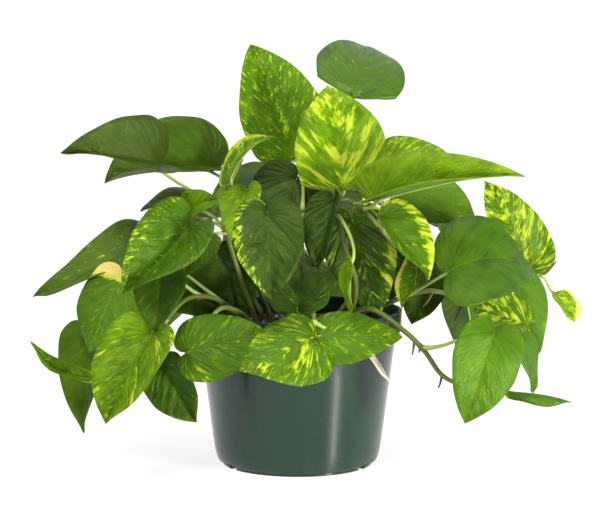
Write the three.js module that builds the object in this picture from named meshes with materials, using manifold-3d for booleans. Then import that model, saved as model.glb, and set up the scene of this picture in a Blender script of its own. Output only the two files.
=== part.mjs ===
// Potted golden pothos: a green nursery pot, its soil, and seventeen leafy vines.
// Millimetres, +Z up, the front of the plant faces -Y.
// The origin is the centre of the pot's underside.
import * as THREE from "three";
import { mergeVertices } from "three/addons/utils/BufferGeometryUtils.js";
import Module from "manifold-3d";

const wasm = await Module();
wasm.setup();
const { Manifold, Mesh } = wasm;

// ---- driving dimensions ----
const POT_HEIGHT = 122;
const COLLAR_RADIUS = 82.5;
const COLLAR_HEIGHT = 17;
const WALL_TOP_RADIUS = 78;
const WALL_BOTTOM_RADIUS = 65.3;
const FOOT_RADIUS = 59.5;
const FOOT_STEP = 2.2;
const POT_WALL = 2;
const POT_FLOOR = 3;
const POT_SIDES = 40;
const DRAIN_ANGLES = [-147, -33, 33, 147];
const DRAIN_SLOT = [13, 9, 5.2];
const SOIL_EDGE = 106;
const SOIL_MOUND = 3;
const SOIL_RELIEF = 1.3;
const SOIL_RINGS = [12, 25, 38, 51, 64, 75];
// Radius and height where the soil leaves the wall, and at its flat underside.
const SOIL_WALL = [[74.9, 102], [61.4, 9]];
const SOIL_SIDES = 24;
const FIT_GAP = 0.3;
const STEM_FOOT = 90;
const STEM_RADIUS = 2.4;
const STEM_TAPER = 0.28;
const STEM_STEPS = 8;
const STEM_SIDES = 6;
const HOLE_DEPTH = 40;
const PETIOLE_RADIUS = 1.4;
const PETIOLE_STEPS = 4;
const PETIOLE_TAPER = [1.1, 0.9, 0.8, 0.75, 0.3];
const PETIOLE_REACH = 0.06;
const STALK_SIDES = 4;
const BLADE_THICKNESS = 0.8;
// Where along the outline its rows of corners fall, from the notch to the tip.
const BLADE_ROWS = [0, 0.18, 0.37, 0.6, 0.82, 1];
// How strongly each half of a blade bows, for a blade one unit long.
const BLADE_CUP = 0.55;
// Where along the midrib the lobes end, where its first side vein leaves it,
// how the next ones crowd toward the base, and how far they sweep back.
const LOBES_END = 0.11;
const FIRST_VEIN = 0.15;
const VEIN_CROWDING = 1.2;
const VEIN_SWEEP = 0.16;
const RIB_STEPS = 60;
const RIB_START = -0.6;

// Half outline of a blade one unit long: along the midrib, out to the margin.
const OUTLINE = [
  [-0.075, 0.03], [-0.12, 0.085], [-0.132, 0.16], [-0.1, 0.25], [-0.02, 0.335],
  [0.11, 0.39], [0.27, 0.405], [0.44, 0.385], [0.6, 0.325], [0.75, 0.235],
  [0.87, 0.135], [0.95, 0.055], [1, 0],
];
const OUTLINE_WIDTH = 0.81;

// Each vine: the line of its stem from the soil up, its leaves, and its aerial roots.
// Leaf: base, tip, way it faces, width over length, fold and curl in degrees,
// share of the stem below its stalk, and then what sets it apart from the others:
// lobes, how far they reach back; slim, how much it narrows toward its tip; and
// bow, how far its midrib bends sideways, as a share of its length.
// Root: share of the stem below it, its reach, its radius.
const VINES = {
  vine_upper_left: {
    stem: [[-22, 2, 116], [-30, -4, 140], [-42, -10, 180], [-52, -10, 205], [-56, -6, 222]],
    leaves: [
      [[-106, -60, 241], [-173, -105, 251], [0, -0.8, 0.6], 0.9, 40, 18, 0.55, { slim: 0.35, lobes: 0.8 }],
      [[-67, 15, 230], [-151, 0, 221], [0, -0.6, 0.8], 1, 41, 35, 0.97],
      [[-52, -46, 227], [-16, -42, 259], [-0.65, -0.35, 0.7], 0.5, 30, 75, 0.9],
      [[-60, -27, 204], [-42, -14, 241], [-0.3, 0.85, 0.4], 0.45, 20, 10, 0.66],
    ],
  },
  vine_mid_left: {
    stem: [[-32, -28, 116], [-42, -38, 145], [-52, -46, 180], [-56, -52, 198]],
    leaves: [
      [[-83, 16, 204], [-125, 24, 197], [0, -0.45, 0.9], 0.9, 12, 25, 0.7],
      [[-85, -35, 205], [-61, -40, 212], [0, -0.8, 0.5], 0.95, 20, 15, 0.8],
      [[-80, -78, 193], [-128, -120, 149], [0, -0.75, 0.65], 0.87, 36, 15, 0.9, { bow: 0.05 }],
      [[-69, -58, 185], [-85, -74, 156], [-0.2, -0.9, 0.3], 0.85, 10, 20, 0.75],
      [[-39, -45, 218], [-44, -70, 178], [-0.35, -0.85, 0.3], 0.75, 25, 15, 0.99],
    ],
  },
  vine_far_left: {
    stem: [[-50, 0, 116], [-72, -8, 138], [-108, -24, 146], [-138, -36, 132], [-150, -42, 118]],
    leaves: [
      [[-125, -15, 176], [-204, -35, 136], [0, -0.46, 0.89], 0.62, 17, 30, 0.45, { slim: 0.42, bow: 0.13 }],
      [[-133, -62, 155], [-156, -80, 100], [-0.2, -0.85, 0.35], 0.85, -8, 20, 0.55],
      [[-160, -50, 109], [-163, -60, 34], [-0.5, -0.8, 0.2], 0.66, 18, 22, 0.97, { slim: 0.45 }],
    ],
  },
  vine_low_left: {
    stem: [
      [-42, -36, 116], [-52, -44, 128], [-64, -56, 138],
      [-82, -74, 140], [-97, -88, 126], [-102, -91, 110],
    ],
    leaves: [
      [[-106, -112, 119], [-140, -125, 54], [-0.5, -0.8, 0.2], 0.85, 22, 20, 0.8],
      [[-101, -85, 164], [-103, -115, 120], [-0.1, -0.9, 0.4], 0.75, 12, 15, 0.5],
      [[-102, -68, 88], [-76, -76, 46], [-0.45, -0.85, 0.3], 0.88, 22, 18, 0.99],
      [[-161, -84, 82], [-198, -98, 111], [0.3, -0.8, 0.5], 0.32, 40, -10, 0.9, { bow: 0.12 }],
      [[-98, -38, 165], [-50, -44, 124], [-0.1, -0.8, 0.5], 0.98, 5, 12, 0.3],
    ],
  },
  vine_front_left: {
    stem: [[-34, -50, 116], [-44, -64, 128], [-57, -78, 133], [-68, -88, 122]],
    leaves: [
      [[-82, -100, 103], [-22, -100, 118], [0, -0.92, 0.4], 0.84, -10, 15, 0.97],
    ],
  },
  vine_front: {
    stem: [[8, -58, 116], [10, -70, 127], [12, -84, 129], [12, -92, 125]],
    leaves: [
      [[12, -110, 116], [-42, -140, 96], [0, -0.78, 0.62], 1.05, -14, 18, 0.99, { slim: 0.3, bow: 0.04 }],
      [[15, -98, 115], [78, -98, 114], [0.1, -0.8, 0.6], 0.7, -8, 12, 0.97],
      [[0, -78, 132], [2, -46, 164], [0, -0.6, 0.8], 1.08, 12, 15, 0.6],
      [[46, -94, 110], [68, -96, 81], [0.2, -0.9, 0.3], 0.16, 20, 10, 0.98],
    ],
  },
  vine_centre: {
    stem: [[-4, -22, 116], [-4, -36, 145], [-2, -48, 180], [4, -50, 205]],
    leaves: [
      [[-22, -92, 205], [-19, -108, 144], [0.05, -0.97, 0.15], 0.84, 12, 30, 0.8, { lobes: 1.3 }],
      [[27, -67, 212], [16, -82, 162], [-0.6, -0.77, 0.2], 0.7, 38, 15, 0.9],
      [[0, -20, 227], [-33, -36, 169], [-0.2, -0.9, 0.4], 0.9, 4, 15, 0.99],
      [[-64, -12, 165], [-41, -28, 116], [0, -0.95, 0.3], 0.95, 8, 15, 0.35],
    ],
  },
  vine_top: {
    stem: [[10, 6, 116], [12, 6, 150], [14, 2, 200], [22, 6, 240], [30, 14, 265]],
    leaves: [
      [[35, -45, 219], [23, -25, 298], [0, -0.97, 0.2], 0.8, 8, 12, 0.6, { lobes: 0.3, slim: -0.25, bow: -0.03 }],
      [[-4, 12, 239], [-37, 22, 329], [0.35, -0.9, 0.15], 0.7, 18, 10, 0.75, { lobes: 0.6, slim: -0.25 }],
      [[44, 20, 287], [56, 95, 327], [0.25, -0.45, 0.86], 0.76, 8, 30, 0.99, { lobes: 0, slim: -0.35 }],
      [[67, 28, 228], [122, 22, 240], [0, -0.8, 0.6], 0.95, 5, 15, 0.7],
    ],
  },
  vine_arching: {
    stem: [
      [40, -40, 116], [44, -66, 150], [36, -70, 178], [30, -66, 206],
      [38, -66, 213], [50, -64, 205], [64, -62, 190], [74, -62, 178],
    ],
    leaves: [
      [[60, -70, 214], [168, -95, 233], [0, -0.6, 0.8], 0.56, 44, 38, 0.7, { slim: 0.45, bow: -0.03 }],
      [[62, -96, 202], [96, -112, 158], [0.55, -0.72, 0.39], 0.85, 38, 20, 0.85],
      [[39, -92, 169], [40, -99, 133], [-0.93, -0.36, 0.1], 0.6, 20, 8, 0.4],
    ],
  },
  vine_right: {
    stem: [
      [46, -24, 116], [68, -34, 130], [98, -54, 143],
      [134, -48, 138], [168, -30, 148], [190, -24, 152],
    ],
    leaves: [
      [[113, -100, 164], [178, -66, 158], [-0.05, -0.8, 0.6], 1, 4, 50, 0.3, { bow: 0.1 }],
      [[182, -8, 155], [145, -16, 224], [0.35, -0.9, 0.2], 0.64, 20, 15, 0.93],
      [[173, -66, 119], [130, -76, 134], [0, -0.8, 0.6], 0.85, 5, 15, 0.7],
      [[172, -46, 150], [186, -42, 93], [0.55, -0.83, 0.1], 0.56, 15, 12, 0.85, { slim: 0.2 }],
      [[200, -24, 138], [214, -34, 116], [0.6, -0.5, 0.6], 0.8, 20, 10, 0.99, { lobes: 0, slim: -1.2 }],
    ],
    roots: [
      [0.43, [-8, -6, -11], 1.3],
      [0.56, [-8, -7, -18], 1.3],
      [0.98, [12, -3, 11], 1.2],
    ],
  },
  vine_low_right: {
    stem: [
      [28, -54, 116], [38, -62, 126], [56, -76, 132], [79, -90, 118],
      [94, -97, 104], [107, -97, 86], [122, -92, 78], [146, -86, 76],
    ],
    leaves: [
      [[145, -108, 119], [123, -118, 53], [0.15, -0.97, 0.1], 0.74, 8, 14, 0.55],
      [[169, -86, 110], [177, -82, 69], [0.82, -0.55, 0.1], 0.62, 12, 12, 0.9],
      [[163, -75, 69], [209, -60, 58], [0, -0.26, 0.97], 0.42, -30, 18, 0.99],
    ],
    roots: [
      [0.5, [-2, -5, -10], 1.2],
      [0.72, [-3, -4, -9], 1.1],
    ],
  },
  vine_inner_right: {
    stem: [[50, -10, 116], [58, -14, 150], [64, -22, 185], [66, -28, 200]],
    leaves: [
      [[42, -38, 197], [62, -46, 122], [-0.1, -0.97, 0.1], 0.7, 5, 12, 0.8],
      [[68, -26, 195], [73, -22, 129], [0.4, -0.9, 0.1], 0.5, 15, 10, 0.97],
      [[90, -76, 168], [78, -84, 134], [-0.75, -0.6, 0.2], 0.7, 15, 10, 0.9],
      [[105, -30, 161], [88, -38, 115], [-0.3, -0.9, 0.2], 0.8, 10, 10, 0.6],
      [[83, -25, 219], [137, -20, 198], [0.1, -0.9, 0.3], 0.75, 10, 20, 0.99],
    ],
  },
  vine_back_left: {
    stem: [[-30, 30, 116], [-48, 52, 140], [-72, 80, 150], [-85, 104, 130]],
    leaves: [
      [[-62, 70, 190], [-112, 118, 158], [-0.4, 0.5, 0.77], 0.9, 20, 25, 0.5],
      [[-98, 104, 138], [-134, 134, 68], [-0.6, 0.75, 0.2], 0.85, 10, 20, 0.9],
      [[-54, 128, 128], [-44, 146, 52], [0, 0.97, 0.2], 0.85, 12, 20, 0.97],
      [[-104, 62, 160], [-166, 82, 122], [-0.5, 0.3, 0.75], 0.75, 15, 30, 0.6],
    ],
  },
  vine_back: {
    stem: [[2, 38, 116], [4, 56, 150], [2, 82, 172], [-2, 108, 158]],
    leaves: [
      [[-14, 72, 222], [-58, 122, 196], [-0.3, 0.5, 0.8], 0.9, 15, 25, 0.5],
      [[16, 100, 200], [38, 158, 152], [0.1, 0.6, 0.8], 0.9, 12, 20, 0.7],
      [[-16, 132, 146], [-24, 154, 68], [0, 0.97, 0.2], 0.85, 10, 20, 0.97],
      [[36, 122, 136], [48, 142, 62], [0.2, 0.95, 0.2], 0.8, 10, 15, 0.9],
    ],
  },
  vine_back_right: {
    stem: [[34, 26, 116], [56, 44, 140], [84, 62, 152], [108, 80, 134]],
    leaves: [
      [[72, 52, 198], [126, 94, 172], [0.4, 0.4, 0.8], 0.9, 15, 25, 0.5],
      [[124, 74, 150], [168, 98, 96], [0.7, 0.6, 0.4], 0.85, 12, 20, 0.85],
      [[140, 78, 118], [150, 98, 56], [0.5, 0.85, 0.2], 0.85, 10, 18, 0.97],
      [[78, 98, 162], [98, 150, 112], [0.3, 0.8, 0.6], 0.85, 15, 20, 0.75],
    ],
  },
  vine_side_right: {
    stem: [[50, 14, 116], [80, 20, 142], [118, 24, 146], [144, 26, 126]],
    leaves: [
      [[116, 8, 182], [166, 26, 146], [0.3, -0.3, 0.9], 0.85, 15, 20, 0.55],
      [[150, 34, 120], [168, 48, 56], [0.8, 0.4, 0.2], 0.85, 10, 20, 0.97],
    ],
  },
  vine_side_left: {
    stem: [[-46, 20, 116], [-78, 28, 142], [-112, 34, 140], [-132, 38, 122]],
    leaves: [
      [[-99, 24, 183], [-155, 38, 152], [-0.3, 0.1, 0.9], 0.85, 15, 25, 0.5],
      [[-134, 44, 122], [-152, 56, 52], [-0.7, 0.6, 0.2], 0.85, 10, 20, 0.97],
      [[-120, 10, 140], [-142, 2, 88], [-0.8, -0.3, 0.2], 0.8, 10, 20, 0.8],
    ],
  },
};

const LEAF_GREENS = [0x3f7d1f, 0x5c9a2a, 0x356d22, 0x74a834];

const vector = ([x, y, z = 0]) => new THREE.Vector3(x, y, z);
const radians = THREE.MathUtils.degToRad;

// ---- shared geometry ----

const smoothLine = (points) => new THREE.CatmullRomCurve3(points.map(vector), false, "catmullrom", 0.5);

function closedSolid(geometry) {
  geometry.deleteAttribute("normal");
  geometry.deleteAttribute("uv");
  const merged = mergeVertices(geometry, 1e-3);
  return new Manifold(new Mesh({
    numProp: 3,
    vertProperties: merged.attributes.position.array,
    triVerts: new Uint32Array(merged.index.array),
  }));
}

function facetedSolid(vertices, triangles) {
  const geometry = new THREE.BufferGeometry().setFromPoints(vertices);
  geometry.setIndex(triangles.flat());
  return closedSolid(geometry);
}

// Round bar along a line, its ends closed, with a radius at each point.
function bar(line, radii, sides) {
  const vertices = [];
  const triangles = [];
  let across = null;
  line.forEach((point, i) => {
    const ahead = line[Math.min(i + 1, line.length - 1)];
    const behind = line[Math.max(i - 1, 0)];
    const along = ahead.clone().sub(behind).normalize();
    const guide = Math.abs(along.z) < 0.9 ? new THREE.Vector3(0, 0, 1) : new THREE.Vector3(1, 0, 0);
    across = across ?? new THREE.Vector3().crossVectors(along, guide);
    across.addScaledVector(along, -across.dot(along)).normalize();
    const side = new THREE.Vector3().crossVectors(along, across);
    for (let k = 0; k < sides; k += 1) {
      const turn = (2 * Math.PI * k) / sides;
      vertices.push(point.clone()
        .addScaledVector(across, radii[i] * Math.cos(turn))
        .addScaledVector(side, radii[i] * Math.sin(turn)));
    }
  });
  for (let i = 0; i < line.length - 1; i += 1) {
    for (let k = 0; k < sides; k += 1) {
      const a = i * sides + k;
      const b = i * sides + ((k + 1) % sides);
      triangles.push([a, b, b + sides], [a, b + sides, a + sides]);
    }
  }
  const end = (line.length - 1) * sides;
  for (let k = 1; k < sides - 1; k += 1) {
    triangles.push([0, k + 1, k], [end, end + k, end + k + 1]);
  }
  return facetedSolid(vertices, triangles);
}

// ---- leaf ----

// Arc of the midrib, bending down toward the tip: where it lies and how steeply.
function midribArc(curl) {
  const step = (1 - RIB_START) / (RIB_STEPS - 1);
  const slope = (x) => curl * (0.45 * x + 0.55 * Math.max(x, 0) ** 3);
  const arc = [{ x: RIB_START, along: 0, rise: 0 }];
  for (let i = 1; i < RIB_STEPS; i += 1) {
    const x = RIB_START + i * step;
    const mean = (slope(x) + slope(x - step)) / 2;
    const past = arc[i - 1];
    arc.push({
      x,
      along: past.along + Math.cos(mean) * step,
      rise: past.rise - Math.sin(mean) * step,
    });
  }
  const place = (x) => {
    const at = Math.max((x - RIB_START) / step, 0);
    const i = Math.min(Math.floor(at), RIB_STEPS - 2);
    const f = at - i;
    return {
      along: arc[i].along * (1 - f) + arc[i + 1].along * f,
      rise: arc[i].rise * (1 - f) + arc[i + 1].rise * f,
      slope: slope(x),
    };
  };
  const origin = place(0);
  return (x) => {
    const p = place(x);
    return { along: p.along - origin.along, rise: p.rise - origin.rise, slope: p.slope };
  };
}

// Everything that sets a blade in space.
function leafFrame([base, tip, face, width, fold, curl, join, form = {}]) {
  const root = vector(base);
  const chord = vector(tip).sub(root);
  const length = chord.length();
  chord.normalize();
  const normal = vector(face);
  normal.addScaledVector(chord, -normal.dot(chord)).normalize();
  const arc = midribArc(radians(curl));
  const end = arc(1);
  const reach = Math.hypot(end.along, end.rise);
  const tilt = Math.atan2(end.rise, end.along);
  const ahead = chord.clone().multiplyScalar(Math.cos(tilt)).addScaledVector(normal, -Math.sin(tilt));
  const up = chord.clone().multiplyScalar(Math.sin(tilt)).addScaledVector(normal, Math.cos(tilt));
  const across = new THREE.Vector3().crossVectors(normal, chord);
  const scale = length / reach;
  return {
    lobes: 1, slim: 0, bow: 0, ...form,
    root, length, width, fold: radians(fold), join, arc, ahead, up, across, scale,
  };
}

// Point of the blade x along the midrib and y out from it, on side +1 or -1.
function bladePoint(leaf, x, y, side) {
  const rise = leaf.fold + (BLADE_CUP * leaf.width) / 4;
  const out = (Math.sin(rise) - Math.sin(rise - BLADE_CUP * y)) / BLADE_CUP;
  const lift = (Math.cos(rise - BLADE_CUP * y) - Math.cos(rise)) / BLADE_CUP;
  const sideways = side * out + 4 * leaf.bow * x * (1 - x);
  const at = leaf.arc(x);
  const ahead = at.along + lift * Math.sin(at.slope);
  const up = at.rise + lift * Math.cos(at.slope);
  return leaf.root.clone()
    .addScaledVector(leaf.ahead, leaf.scale * ahead)
    .addScaledVector(leaf.up, leaf.scale * up)
    .addScaledVector(leaf.across, leaf.scale * sideways);
}

// Outline of half a blade in a few rows, each a vein from the midrib to the margin.
function bladeRows(leaf) {
  const rows = [];
  const outline = smoothLine(OUTLINE);
  for (const t of BLADE_ROWS) {
    const { x, y } = outline.getPoint(t);
    const edge = x < LOBES_END ? LOBES_END + (x - LOBES_END) * leaf.lobes : x;
    const start = Math.max((edge - FIRST_VEIN) / (1 - FIRST_VEIN), 0) ** VEIN_CROWDING;
    const narrowed = 1 - leaf.slim * Math.max(x, 0);
    rows.push({ start, edge, half: (y * narrowed * leaf.width) / OUTLINE_WIDTH });
  }
  return rows;
}

function bladeSurface(leaf) {
  const rows = bladeRows(leaf);
  const points = [];
  const index = new Map();
  const triangles = [];
  const corner = (i, j, side) => {
    const { start, edge, half } = rows[i];
    const isTip = i === rows.length - 1;
    const key = isTip ? "tip" : j === 0 ? `rib ${start.toFixed(6)}` : `${side} ${i} ${j}`;
    if (!index.has(key)) {
      const v = j / 2;
      const x = (1 - v) * start + v * edge - VEIN_SWEEP * v * (1 - v) * half;
      index.set(key, points.length);
      points.push(bladePoint(leaf, x, v * half, side));
    }
    return index.get(key);
  };
  for (const side of [1, -1]) {
    for (let i = 0; i < rows.length - 1; i += 1) {
      for (let j = 0; j < 2; j += 1) {
        const a = corner(i, j, side);
        const b = corner(i, j + 1, side);
        const c = corner(i + 1, j + 1, side);
        const d = corner(i + 1, j, side);
        for (const t of [[a, b, c], [a, c, d]]) {
          if (new Set(t).size === 3) triangles.push(side < 0 ? t : t.reverse());
        }
      }
    }
  }
  return { points, triangles };
}

// The surface given its thickness, with the same triangles on both faces.
function bladeSolid(leaf) {
  const { points, triangles } = bladeSurface(leaf);
  const normals = points.map(() => new THREE.Vector3());
  for (const [a, b, c] of triangles) {
    const one = points[b].clone().sub(points[a]);
    const two = points[c].clone().sub(points[a]);
    const facing = one.cross(two);
    for (const k of [a, b, c]) normals[k].add(facing);
  }
  normals.forEach((n) => n.normalize());
  const half = BLADE_THICKNESS / 2;
  const top = points.map((p, i) => p.clone().addScaledVector(normals[i], half));
  const under = points.map((p, i) => p.clone().addScaledVector(normals[i], -half));
  const n = points.length;
  const faces = [...triangles, ...triangles.map(([a, b, c]) => [c + n, b + n, a + n])];
  const edges = new Set(triangles.flatMap(([a, b, c]) => [`${a},${b}`, `${b},${c}`, `${c},${a}`]));
  for (const edge of edges) {
    const [a, b] = edge.split(",").map(Number);
    if (!edges.has(`${b},${a}`)) faces.push([a, a + n, b + n], [a, b + n, b]);
  }
  return facetedSolid([...top, ...under], faces);
}

// Leaf stalk: leaves the stem upward and meets the blade from beneath.
function petiole(leaf, stem) {
  const from = stem.getPoint(leaf.join);
  const growth = stem.getTangent(leaf.join);
  const span = leaf.root.distanceTo(from);
  const toward = leaf.root.clone().sub(from).normalize();
  const leaving = growth.multiplyScalar(0.6).addScaledVector(toward, 0.8).normalize();
  const arriving = leaf.ahead.clone().multiplyScalar(0.7).addScaledVector(leaf.up, 0.6).normalize();
  const end = leaf.root.clone().addScaledVector(leaf.ahead, PETIOLE_REACH * leaf.length);
  const curve = new THREE.CubicBezierCurve3(
    from,
    from.clone().addScaledVector(leaving, 0.35 * span),
    leaf.root.clone().addScaledVector(arriving, -0.33 * span),
    end.addScaledVector(leaf.up, -0.1),
  );
  const line = curve.getPoints(PETIOLE_STEPS);
  const radii = line.map((_, i) => PETIOLE_RADIUS * PETIOLE_TAPER[i]);
  return bar(line, radii, STALK_SIDES);
}

function aerialRoot([join, reach, radius], stem) {
  const from = stem.getPoint(join);
  const line = [0, 0.5, 1].map((t) => from.clone().addScaledVector(vector(reach), t));
  return bar(line, [radius, radius * 0.8, radius * 0.5], STALK_SIDES);
}

// ---- vine ----

// The stem stands straight in the soil and bends away above it.
function stemBar(stem) {
  const line = stem.getPoints(STEM_STEPS);
  line.unshift(new THREE.Vector3(line[0].x, line[0].y, STEM_FOOT));
  const radii = line.map((_, i) => STEM_RADIUS * (1 - (STEM_TAPER * i) / (line.length - 1)));
  return bar(line, radii, STEM_SIDES);
}

function vineSolid(vine) {
  const stem = smoothLine(vine.stem);
  let body = stemBar(stem);
  for (const row of vine.leaves) {
    const leaf = leafFrame(row);
    body = body.add(petiole(leaf, stem)).add(bladeSolid(leaf));
  }
  for (const root of vine.roots ?? []) {
    body = body.add(aerialRoot(root, stem));
  }
  return body;
}

// ---- pot and soil ----

// Solid of revolution from a closed profile of radius and height, run anticlockwise.
function turned(profile, sides) {
  const points = [...profile, profile[0]].map(([r, z]) => new THREE.Vector2(r, z));
  const geometry = new THREE.LatheGeometry(points, sides);
  geometry.rotateX(Math.PI / 2);
  return closedSolid(geometry);
}

function potProfile() {
  const collarFoot = POT_HEIGHT - COLLAR_HEIGHT;
  const outside = [
    [0, 0], [FOOT_RADIUS - 19, 0], [FOOT_RADIUS - 18, 1.4], [FOOT_RADIUS - 7, 1.4],
    [FOOT_RADIUS - 6, 0], [FOOT_RADIUS, 0], [FOOT_RADIUS, FOOT_STEP],
    [FOOT_RADIUS + 1.7, FOOT_STEP + 0.2], [63, 4.2], [64.5, 7], [WALL_BOTTOM_RADIUS, 10.4],
    [WALL_TOP_RADIUS, collarFoot], [COLLAR_RADIUS - 0.9, collarFoot + 0.2],
    [COLLAR_RADIUS - 0.4, collarFoot + 0.9], [COLLAR_RADIUS, POT_HEIGHT - 1.2],
    [COLLAR_RADIUS - 0.6, POT_HEIGHT], [COLLAR_RADIUS - 2, POT_HEIGHT],
  ];
  const inside = [
    [COLLAR_RADIUS - 2.4, POT_HEIGHT - 0.8], [COLLAR_RADIUS - 2.8, collarFoot + 2],
    [WALL_TOP_RADIUS - POT_WALL, collarFoot], [WALL_BOTTOM_RADIUS - POT_WALL, 11],
    [61, 5.5], [58.5, POT_FLOOR], [0, POT_FLOOR],
  ];
  return [...outside, ...inside];
}

function pot() {
  let body = turned(potProfile(), POT_SIDES);
  for (const angle of DRAIN_ANGLES) {
    const slot = new THREE.BoxGeometry(...DRAIN_SLOT);
    slot.translate(FOOT_RADIUS + 1.5, 0, 1.8);
    slot.rotateZ(radians(angle));
    body = body.subtract(closedSolid(slot));
  }
  return body;
}

// Height of the lumpy top of the soil, which settles to the wall at its edge.
function soilHeight(r, angle) {
  const x = r * Math.cos(angle);
  const y = r * Math.sin(angle);
  const rough = Math.sin(0.23 * x + 1.3) * Math.cos(0.19 * y - 0.6)
    + 0.6 * Math.sin(0.41 * x - 0.37 * y)
    + 0.4 * Math.cos(0.67 * y + 0.29 * x);
  const edge = SOIL_RINGS.at(-1);
  const mound = SOIL_MOUND * (1 - (r / edge) ** 2);
  return SOIL_EDGE + mound + SOIL_RELIEF * rough * Math.min(1, (edge + 1 - r) / 12);
}

function stemHole([x, y]) {
  const radius = (STEM_RADIUS + FIT_GAP) / Math.cos(Math.PI / STEM_SIDES);
  const hole = new THREE.CylinderGeometry(radius, radius, HOLE_DEPTH, STEM_SIDES);
  hole.rotateX(Math.PI / 2);
  hole.translate(x, y, STEM_FOOT - FIT_GAP + HOLE_DEPTH / 2);
  return closedSolid(hole);
}

// Lump of soil that fills the pot: rings of corners around a middle one, top and bottom.
function soil() {
  const sides = SOIL_SIDES;
  const underside = SOIL_WALL.at(-1)[1];
  const vertices = [new THREE.Vector3(0, 0, soilHeight(0, 0)), new THREE.Vector3(0, 0, underside)];
  const triangles = [];
  const ringStart = (i) => 2 + i * sides;
  const levels = [...SOIL_RINGS.map((r) => [r, null]), ...SOIL_WALL];
  for (const [r, z] of levels) {
    for (let k = 0; k < sides; k += 1) {
      const angle = (2 * Math.PI * k) / sides;
      const height = z ?? soilHeight(r, angle);
      vertices.push(new THREE.Vector3(r * Math.cos(angle), r * Math.sin(angle), height));
    }
  }
  const lastStart = ringStart(levels.length - 1);
  for (let k = 0; k < sides; k += 1) {
    const next = (k + 1) % sides;
    triangles.push([0, 2 + k, 2 + next], [1, lastStart + next, lastStart + k]);
    for (let i = 0; i < levels.length - 1; i += 1) {
      const a = ringStart(i);
      const b = ringStart(i + 1);
      triangles.push([a + k, b + k, b + next], [a + k, b + next, a + next]);
    }
  }
  let body = facetedSolid(vertices, triangles);
  for (const { stem } of Object.values(VINES)) {
    body = body.subtract(stemHole(stem[0]));
  }
  return body;
}

// ---- the whole plant ----

function named(name, body, colour, roughness) {
  const mesh = body.getMesh();
  const geometry = new THREE.BufferGeometry();
  geometry.setAttribute("position", new THREE.BufferAttribute(new Float32Array(mesh.vertProperties), 3));
  geometry.setIndex(new THREE.BufferAttribute(new Uint32Array(mesh.triVerts), 1));
  geometry.computeVertexNormals();
  const material = new THREE.MeshStandardMaterial({ color: colour, roughness, metalness: 0 });
  const piece = new THREE.Mesh(geometry, material);
  piece.name = name;
  return piece;
}

const plant = new THREE.Group();
plant.name = "potted_pothos";
plant.add(named("pot", pot(), 0x2d4a3d, 0.38));
plant.add(named("soil", soil(), 0x33241b, 0.95));
Object.entries(VINES).forEach(([name, vine], i) => {
  plant.add(named(name, vineSolid(vine), LEAF_GREENS[i % LEAF_GREENS.length], 0.4));
});

export default plant;
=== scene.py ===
# %% [markdown]
# # A potted golden pothos
#
# The plant is a young golden pothos in the dark green plastic pot of a nursery. Its vines stand in
# a potting mix of peat and bark, bend over the collar and trail, and carry heart-shaped leaves that
# are splashed with yellow. The solid parts come packed as a frame: a pot, its soil and seventeen
# vines of plain blades. This lesson replaces each of them with a finer piece of the same form and
# gives every surface its finish.

# %% Load the frame
import math
import random
from statistics import NormalDist

import bmesh
import bpy
import numpy as np
from mathutils import Matrix, Vector


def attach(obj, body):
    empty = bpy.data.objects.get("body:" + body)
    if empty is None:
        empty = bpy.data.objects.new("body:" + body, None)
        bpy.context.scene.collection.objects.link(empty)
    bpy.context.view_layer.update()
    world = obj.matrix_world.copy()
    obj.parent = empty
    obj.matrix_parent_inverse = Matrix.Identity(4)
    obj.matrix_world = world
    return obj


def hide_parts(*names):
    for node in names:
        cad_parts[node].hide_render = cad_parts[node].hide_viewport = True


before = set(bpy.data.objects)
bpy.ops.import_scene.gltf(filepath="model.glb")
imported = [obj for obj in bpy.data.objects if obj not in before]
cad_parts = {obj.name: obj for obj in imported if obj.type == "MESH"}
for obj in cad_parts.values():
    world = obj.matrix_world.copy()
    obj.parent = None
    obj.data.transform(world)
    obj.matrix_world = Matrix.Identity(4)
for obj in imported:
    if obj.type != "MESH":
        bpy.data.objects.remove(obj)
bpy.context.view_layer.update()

# %% [markdown]
# ## Making a mesh
#
# Every piece here is worked out point by point, because a leaf, a stalk and a moulded pot are all
# exact shapes with a formula. One helper turns points and faces into a mesh with its finish, and a
# second one makes it a piece that rides on the plant's body. A mesh can hold named numbers at its
# points. A material reads those later, for instance how far a point lies from its leaf's midrib.
#
# The measures are written in millimetres, as a grower would give them, and Blender gets metres.

# %% Mesh helper
MM = 0.001


def add_object(name, data):
    """An object in the scene that holds a mesh, a lamp or a lens."""
    held = bpy.data.objects.new(name, data)
    bpy.context.scene.collection.objects.link(held)
    return held


def add_mesh(name, points, faces, finish, attributes=(), smooth=True):
    """A mesh from points in millimetres and faces that hold point numbers."""
    used, numbers = np.unique(np.concatenate([np.asarray(face) for face in faces]), return_inverse=True)
    ends = np.cumsum([len(face) for face in faces])[:-1]
    faces = [part.tolist() for part in np.split(numbers, ends)]
    mesh = bpy.data.meshes.new(name)
    mesh.from_pydata((np.asarray(points)[used] * MM).tolist(), [], faces)
    for label, values in dict(attributes).items():
        kind, field = ("FLOAT_VECTOR", "vector") if np.ndim(values) == 2 else ("FLOAT", "value")
        layer = mesh.attributes.new(label, kind, "POINT")
        layer.data.foreach_set(field, np.ravel(values[used]))
    mesh.polygons.foreach_set("use_smooth", [smooth] * len(mesh.polygons))
    mesh.materials.append(finish)
    return add_object(name, mesh)


def make_piece(name, points, faces, finish, attributes=(), smooth=True):
    """A mesh that rides on the plant's body."""
    piece = add_mesh(name, points, faces, finish, attributes, smooth)
    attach(piece, "root")
    return piece


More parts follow.
